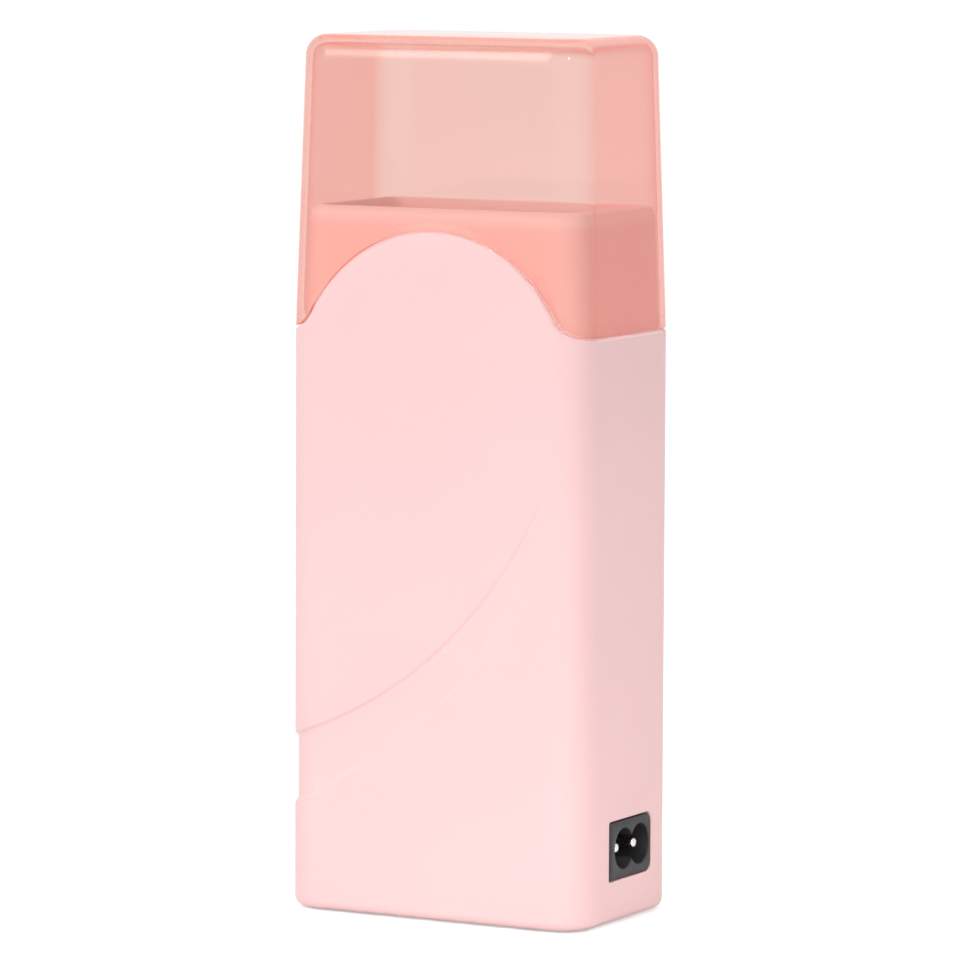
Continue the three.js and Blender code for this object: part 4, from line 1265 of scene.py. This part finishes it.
@dataclass(frozen=True)
class MainsInlet:
    """The black figure-8 socket in the right side, with its two pins."""

    form: HeaterForm
    middle_y: float = 1.5
    height: float = 15.7
    face_width: float = 19.6
    face_height: float = 12.5
    rear_corner: float = 2.0
    front_corner: float = 0.35
    least_rear_corner: float = 0.1
    least_front_corner: float = 0.05
    face_sink: float = 0.05
    face_round: float = 0.3
    bevel_width: float = 1.0
    bevel_depth: float = 0.4
    socket_aside: float = 0.9
    gap: float = 0.3
    window_extra: float = 0.01
    window_round: float = 0.3
    lobe_radius: float = 4.45
    lobe_spacing: float = 7.4
    mouth_round: float = 0.35
    depth: float = 11.0
    flange_reach: float = 1.5
    flange_thickness: float = 3.0
    flange_corner: float = 0.2
    shell_wall: float = 2.0
    body_width: float = 18.5
    body_height: float = 11.5
    length: float = 17.0
    pin_spacing: float = 8.6
    pin_radius: float = 1.2
    pin_sink: float = 1.5
    tip_round: float = 0.7
    tail_length: float = 5.0
    tail_thickness: float = 0.8
    tail_corner: float = 0.1

    @property
    def face_x(self) -> float:
        """Place of the face."""
        return self.form.half_width - self.face_sink

    @property
    def rear_x(self) -> float:
        """Place of the rear end."""
        return self.face_x - self.length

    @property
    def wall_x(self) -> float:
        """Place of the shell's inner side, where the flange ends."""
        return self.form.half_width - self.shell_wall

    def _centre(self, side: int, spacing: float) -> Pair:
        """Gives the place of one of two things that stand side by side in the socket."""
        return self.middle_y + self.socket_aside + side * spacing / 2, self.height

    def _outline(self, grow: float) -> np.ndarray:
        """Gives the outline of the face.

        Args:
            grow: How far it is grown all round.

        Returns:
            The points.
        """
        rear = max(self.rear_corner + grow, self.least_rear_corner)
        front = max(self.front_corner + grow, self.least_front_corner)
        half = (self.face_width / 2 + grow, self.face_height / 2 + grow)
        return box_outline((self.middle_y, self.height), half, [rear, rear, front, front], steps=8)

    def window(self) -> Piece:
        """Makes what the inlet's window takes from the shell, with a rounded mouth.

        Returns:
            The object.
        """
        surface = self.form.half_width
        clear = self.gap + self.window_extra
        places = [(clear, self.wall_x - OVERSHOOT)]
        places += [(clear + inset, surface - depth) for inset, depth in round_up(self.window_round, steps=4)]
        places.append((clear + self.window_round, surface + OVERSHOOT))
        return stack_piece("window", Axis.X, [(self._outline(grow), along) for grow, along in places])

    def _lobe(self, side: int) -> Piece:
        """Makes one lobe of the socket's opening, with a rounded mouth.

        Args:
            side: -1 for the front one and 1 for the rear one.

        Returns:
            The object.
        """
        layers = [(self.lobe_radius, self.face_x - self.depth)]
        mouth = round_up(self.mouth_round, steps=4)
        layers += [(self.lobe_radius + inset, self.face_x - depth) for inset, depth in mouth]
        layers.append((self.lobe_radius + self.mouth_round, self.face_x + OVERSHOOT))
        return turned("lobe", Axis.X, layers, self._centre(side, self.lobe_spacing), sides=64)

    def _bevel(self) -> Piece:
        """Makes what the bevel takes from the front edge of the face.

        Returns:
            The object.
        """
        front = self.middle_y - self.face_width / 2
        sunk, past = self.face_x - self.bevel_depth, self.face_x + OVERSHOOT
        end = front + self.bevel_width
        corners = np.array([(sunk, front), (self.face_x, end), (past, end), (past, front - OVERSHOOT),
                            (sunk, front - OVERSHOOT)])
        heights = (self.height - self.face_height, self.height + self.face_height)
        return stack_piece("bevel", Axis.Z, [(corners, height) for height in heights])

    def build(self) -> Piece:
        """Makes the socket.

        Returns:
            The object.
        """
        flange_x = self.wall_x - self.flange_thickness
        start = flange_x + self.flange_thickness / 2
        layers = [(self._outline(0), start)]
        layers += [(self._outline(-inset), self.face_x - depth) for inset, depth in round_up(self.face_round, steps=5)]
        socket = stack_piece("socket", Axis.X, layers)
        half = (self.face_width / 2 + self.flange_reach, self.face_height / 2 + self.flange_reach)
        ends = (flange_x, self.wall_x)
        combine(socket, Cut.ADD,
                block("flange", Axis.X, (self.middle_y, self.height), half, self.flange_corner, ends))
        half = (self.body_width / 2, self.body_height / 2)
        ends = (self.rear_x, start)
        combine(socket, Cut.ADD, block("body", Axis.X, self._centre(0, 0), half, self.rear_corner, ends))
        radius = self.pin_radius + self.gap
        hole = [(radius, self.rear_x - OVERSHOOT), (radius, self.face_x - self.depth + OVERSHOOT)]
        for side in (-1, 1):
            combine(socket, Cut.TAKE, self._lobe(side))
            centre = self._centre(side, self.pin_spacing)
            combine(socket, Cut.TAKE, turned("hole", Axis.X, hole, centre, sides=32))
        combine(socket, Cut.TAKE, self._bevel())
        return socket

    def pin(self, name: str, side: int) -> Piece:
        """Makes a pin with a round tip and a flat tail.

        Args:
            name: Name of the piece.
            side: -1 for the front one and 1 for the rear one.

        Returns:
            The object.
        """
        centre = self._centre(side, self.pin_spacing)
        tip = self.face_x - self.pin_sink
        profile = [(self.pin_radius, self.rear_x)]
        profile += [(self.pin_radius - inset, tip - depth) for inset, depth in round_up(self.tip_round, steps=8)]
        pin = turned(name, Axis.X, profile, centre, sides=40)
        ends = (self.rear_x - self.tail_length, self.rear_x + OVERSHOOT)
        half = (self.tail_thickness / 2, self.pin_radius)
        combine(pin, Cut.ADD, block("tail", Axis.X, centre, half, self.tail_corner, ends))
        return pin

    def dress(self, dresser: Dresser) -> None:
        """Makes and dresses the socket and its pins.

        Args:
            dresser: Gives them their materials and places.
        """
        dresser.dress(self.build(), Finish.SOCKET, "housing", "inlet_housing", "inlet_plastic")
        for name, side in FRONT_AND_REAR:
            pin = self.pin(f"pin_{name}", side)
            dresser.dress(pin, Finish.NICKEL, "housing", f"inlet_pin_{name}", "pin_nickel")


@dataclass(frozen=True)
class CoverScrews:
    """The two cross-slotted screws of the rear cover."""

    form: HeaterForm
    spacing: float = 48.0
    height: float = 33.0
    head_radius: float = 2.5
    head_thickness: float = 1.8
    head_sink: float = 0.7
    head_round: float = 1.2
    head_round_width: float = 0.75
    head_round_height: float = 0.8
    shank_radius: float = 1.2
    length: float = 14.0
    point_radius: float = 0.3
    point_length: float = 1.0
    gap: float = 0.3
    mouth_round: float = 0.3
    slot_width: float = 0.75
    slot_reach: float = 1.45
    slot_depth: float = 1.1
    slot_taper: float = 0.55
    slot_corner: float = 0.05
    slot_overshoot: float = 0.1
    thread_pitch: float = 1.0
    thread_depth: float = 0.18
    thread_flanks: Triple = (0.3, 0.5, 0.7)

    @property
    def seat_y(self) -> float:
        """Place of the head's seat."""
        return self.form.half_depth - self.head_sink - self.head_thickness

    def _centre(self, side: int) -> Pair:
        """Gives the place of a screw, seen from the front."""
        return side * self.spacing / 2, self.height

    def recess(self, side: int) -> Piece:
        """Makes what a screw's head takes from the cover, with a rounded mouth.

        Args:
            side: -1 for the left one and 1 for the right one.

        Returns:
            The object.
        """
        radius = self.head_radius + self.gap + EXTRA_GAP
        surface = self.form.half_depth
        profile = [(radius, self.seat_y)]
        profile += [(radius + inset, surface - depth) for inset, depth in round_up(self.mouth_round, steps=4)]
        profile.append((radius + self.mouth_round, surface + OVERSHOOT))
        return turned("recess", Axis.Y, profile, self._centre(side), sides=64)

    def _profile(self) -> list[Pair]:
        """Gives the outline of a screw's half, from its point to the top of its head.

        Returns:
            Pairs of radius and place on its axis.
        """
        start = self.seat_y - self.length
        core = self.shank_radius - self.thread_depth
        profile = [(self.point_radius, start), (core, start + self.point_length)]
        for turn in range(int((self.length - self.point_length) / self.thread_pitch)):
            foot = start + self.point_length + turn * self.thread_pitch
            radii = (core, self.shank_radius, core)
            profile += [(radius, foot + place) for radius, place in zip(radii, self.thread_flanks)]
        profile += [(self.shank_radius, self.seat_y), (self.head_radius, self.seat_y)]
        top = self.seat_y + self.head_thickness
        for inset, depth in round_up(self.head_round, steps=8):
            profile.append((self.head_radius - inset * self.head_round_width, top - depth * self.head_round_height))
        return profile

    def build(self, name: str, side: int) -> Piece:
        """Makes a screw.

        Args:
            name: Name of the piece.
            side: -1 for the left one and 1 for the right one.

        Returns:
            The object.
        """
        centre = self._centre(side)
        top = self.seat_y + self.head_thickness
        screw = turned(name, Axis.Y, self._profile(), centre, sides=48)
        places = ((self.slot_taper, top - self.slot_depth), (1, top + self.slot_overshoot))
        for wide, tall in ((self.slot_reach, self.slot_width / 2), (self.slot_width / 2, self.slot_reach)):
            layers = [(box_outline(centre, (wide * share, tall * share), [self.slot_corner] * 4, steps=2), place)
                      for share, place in places]
            combine(screw, Cut.TAKE, stack_piece("slot", Axis.Y, layers))
        return screw

    def dress(self, dresser: Dresser, cover: Piece) -> None:
        """Makes and dresses both screws, and sinks them in the cover.

        Args:
            dresser: Gives them their materials and places.
            cover: The rear cover.
        """
        for name, side in LEFT_AND_RIGHT:
            combine(cover, Cut.TAKE, self.recess(side))
            screw = self.build(f"screw_{name}", side)
            dresser.dress(screw, Finish.ZINC, "housing", f"cover_screw_{name}", "screw_steel")


@dataclass(frozen=True)
class RubberFeet:
    """The four rubber feet in the base."""

    radius: float = 4.0
    sink: float = 1.0
    proud: float = 0.5
    spacing_x: float = 54.0
    spacing_y: float = 25.0
    gap: float = 0.3
    mouth_bevel: float = 0.3
    edge_round: float = 0.3
    dish_depth: float = 0.12
    dish_radii: Triple = (0.4, 2.8, 3.12)

    def _centre(self, side: int, back: int) -> Pair:
        """Gives the place of a foot in plan."""
        return side * self.spacing_x / 2, back * self.spacing_y / 2

    def pocket(self, side: int, back: int) -> Piece:
        """Makes what a foot takes from the base.

        Args:
            side: -1 for a left one and 1 for a right one.
            back: -1 for a front one and 1 for a rear one.

        Returns:
            The object.
        """
        radius = self.radius + self.gap + EXTRA_GAP
        mouth = radius + self.mouth_bevel
        profile = [(mouth, -OVERSHOOT), (mouth, 0), (radius, self.mouth_bevel), (radius, self.sink)]
        return turned("pocket", Axis.Z, profile, self._centre(side, back), sides=64)

    def build(self, name: str, side: int, back: int) -> Piece:
        """Makes a foot, slightly hollow underneath.

        Args:
            name: Name of the piece.
            side: -1 for a left one and 1 for a right one.
            back: -1 for a front one and 1 for a rear one.

        Returns:
            The object.
        """
        inside = self.dish_depth - self.proud
        profile = list(zip(self.dish_radii, (inside, inside, -self.proud)))
        profile += [(self.radius - inset, -self.proud + depth) for inset, depth in round_over(self.edge_round, steps=4)]
        profile.append((self.radius, self.sink))
        return turned(name, Axis.Z, profile, self._centre(side, back), sides=56)

    def dress(self, dresser: Dresser, shell: Piece) -> None:
        """Makes and dresses the four feet, and sinks them in the base.

        Args:
            dresser: Gives them their materials and places.
            shell: The front shell, which holds the base.
        """
        for depth_name, back in FRONT_AND_REAR:
            for side_name, side in LEFT_AND_RIGHT:
                combine(shell, Cut.TAKE, self.pocket(side, back))
                foot = self.build(f"pad_{depth_name}_{side_name}", side, back)
                dresser.dress(foot, Finish.RUBBER, "housing", f"foot_{depth_name}_{side_name}", "foot_rubber")


@dataclass(frozen=True)
class InnerParts:
    """The parts inside, which are the frame's own solids with the finishes that are listed here."""

    finishes: tuple[tuple[Finish, tuple[str, ...]], ...] = (
        (Finish.MICA, ("insulation_front", "insulation_rear")),
        (Finish.BRASS, ("electrode_front", "electrode_rear")),
        (Finish.HOLDER, ("ptc_holder",)),
        (Finish.CERAMIC, ("ptc_tablet_lower", "ptc_tablet_middle", "ptc_tablet_upper")),
        (Finish.SPRING, ("heater_clamp", "thermostat_clip", "fuse_clip", "inlet_bracket")),
        (Finish.SWITCH, ("thermostat",)),
        (Finish.SLEEVE, ("thermal_fuse",)),
        (Finish.ZINC, ("bracket_screw_upper", "bracket_screw_lower")),
        (Finish.BROWN, ("lead_live",)),
        (Finish.BLUE, ("lead_neutral",)),
        (Finish.WHITE, ("lead_thermostat", "lead_fuse")),
    )

    def dress(self, dresser: Dresser, nodes: dict[str, Piece]) -> None:
        """Gives the nodes that are carried over their materials.

        Args:
            dresser: Gives them their materials.
            nodes: Nodes of the frame.
        """
        for finish, names in self.finishes:
            for name in names:
                dresser.paint(nodes[name], finish)
                log.info("%s: carried over", name)


# Camera and light


@dataclass(frozen=True)
class Photograph:
    """The camera, as it stood to the heater."""

    azimuth: float = 28.306
    elevation: float = 5.99
    roll: float = 0.243
    distance: float = 1360.07
    aside: float = -0.055
    above: float = -1.654
    focal_pixels: float = 6212.34
    image_pixels: float = 960.0
    sensor: float = 36.0

    def set_up(self, form: HeaterForm) -> None:
        """Makes the camera.

        Args:
            form: Outer form of the heater, whose middle the camera looks past.
        """
        turn, rise, roll = (math.radians(angle) for angle in (self.azimuth, self.elevation, self.roll))
        ahead = Vector((-math.sin(turn) * math.cos(rise), math.cos(turn) * math.cos(rise), -math.sin(rise)))
        level = Vector((math.cos(turn), math.sin(turn), 0))
        upright = level.cross(ahead)
        right = level * math.cos(roll) + upright * math.sin(roll)
        up = upright * math.cos(roll) - level * math.sin(roll)
        middle = Vector((0, 0, form.closed_height / 2 + FOOT_RISE))
        place = (middle - ahead * self.distance + right * self.aside + up * self.above) * MILLIMETRE
        data = bpy.data.cameras.new("camera")
        data.sensor_width = self.sensor
        data.lens = self.focal_pixels * self.sensor / self.image_pixels
        camera = new_object("camera", data)
        camera.matrix_world = Matrix.Translation(place) @ Matrix((right, up, -ahead)).transposed().to_4x4()
        bpy.context.scene.camera = camera


@dataclass(frozen=True)
class Lamp:
    """A soft lamp that faces the heater. Its places and sizes are in metres, its power in watts."""

    name: str
    place: Triple
    size: Pair
    power: float
    aim_height: float = 0.1
    spread: float = 180.0

    def hang(self) -> None:
        """Makes the lamp."""
        data = bpy.data.lights.new(self.name, "AREA")
        data.shape = "RECTANGLE"
        data.size, data.size_y = self.size
        data.energy = self.power
        data.spread = math.radians(self.spread)
        lamp = new_object(self.name, data)
        lamp.location = self.place
        ahead = Vector((0, 0, self.aim_height)) - Vector(self.place)
        lamp.rotation_euler = ahead.to_track_quat("-Z", "Y").to_euler()


@dataclass(frozen=True)
class Studio:
    """The pale floor, the white room and its soft lamps."""

    front_room: float = 0.81
    back_room: float = 0.6
    light_from: Triple = (-0.45, -0.85, 0.27)
    floor_colour: Colour = (0.9, 0.9, 0.9)
    floor_glow: float = 0.38
    floor_size: float = 60.0
    lamps: tuple[Lamp, ...] = (
        Lamp("front_softbox", place=(-0.6, -1.12, 1.27), size=(1.0, 1.0), power=4.2),
        Lamp("strip_softbox", place=(-0.735, -1.37, 0.83), size=(0.32, 1.05), power=3.9),
        Lamp("overhead_softbox", place=(0.25, -0.5, 1.8), size=(1.4, 1.4), power=3.0),
        Lamp("base_spot", place=(1.15, -1.2, 0.62), size=(0.15, 0.15), power=0.058, aim_height=-0.01, spread=12.0),
    )

    def _room(self) -> None:
        """Makes the white room, which lights the heater most from the front."""
        world = bpy.data.worlds.new("room")
        bpy.context.scene.world = world
        graph = Graph(world)
        inputs = {0: graph.coordinates["Generated"], 1: self.light_from}
        towards = graph.add("ShaderNodeVectorMath", inputs, operation="DOT_PRODUCT").outputs["Value"]
        light = graph.spread(towards, self.back_room, self.front_room, -1, 1)
        strength = graph.spread(graph.seen(), light, 1, 0, 1)
        graph.surface(graph.add("ShaderNodeBackground", {"Color": (1, 1, 1), "Strength": strength}))

    def _floor(self) -> None:
        """Makes the floor, which keeps the heater's shadow."""
        half = self.floor_size / 2
        mesh = bpy.data.meshes.new("floor")
        mesh.from_pydata([(-half, -half, 0), (half, -half, 0), (half, half, 0), (-half, half, 0)], [], [(0, 1, 2, 3)])
        graph = Graph(bpy.data.materials.new("floor_paper"))
        matt = graph.add("ShaderNodeBsdfDiffuse", {"Color": self.floor_colour}).outputs["BSDF"]
        strength = graph.sum(Sum.MULTIPLY, graph.seen(), self.floor_glow)
        glow = graph.add("ShaderNodeEmission", {"Strength": strength}).outputs["Emission"]
        mesh.materials.append(graph.surface(graph.add("ShaderNodeAddShader", {0: matt, 1: glow})))
        floor = new_object("floor", mesh)

    def build(self) -> None:
        """Makes the room, the floor and the lamps."""
        self._room()
        self._floor()
        for lamp in self.lamps:
            lamp.hang()
        bpy.context.scene.view_settings.view_transform = "Standard"


def main() -> None:
    """Builds the camera, the studio and the heater's sub-assemblies in order."""
    logging.basicConfig(level=logging.INFO, format="%(name)s: %(message)s", stream=sys.stdout)
    for old in list(bpy.data.objects):
        bpy.data.objects.remove(old)
    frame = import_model()
    nodes, form, dresser = frame["nodes"], HeaterForm(), Dresser()
    Photograph().set_up(form)
    Studio().build()
    housing, inlet = Housing(form, SunkenBand(form)), MainsInlet(form)
    front, rear = housing.build(nodes)
    combine(front, Cut.TAKE, inlet.window())
    RubberFeet().dress(dresser, front)
    CoverScrews(form).dress(dresser, rear)
    housing.dress(dresser, front, rear)
    inlet.dress(dresser)
    NeckCollar(form).dress(dresser)
    CartridgeWell().dress(dresser)
    Cap(form).dress(dresser)
    InnerParts().dress(dresser, nodes)


if __name__ == "__main__":
    main()
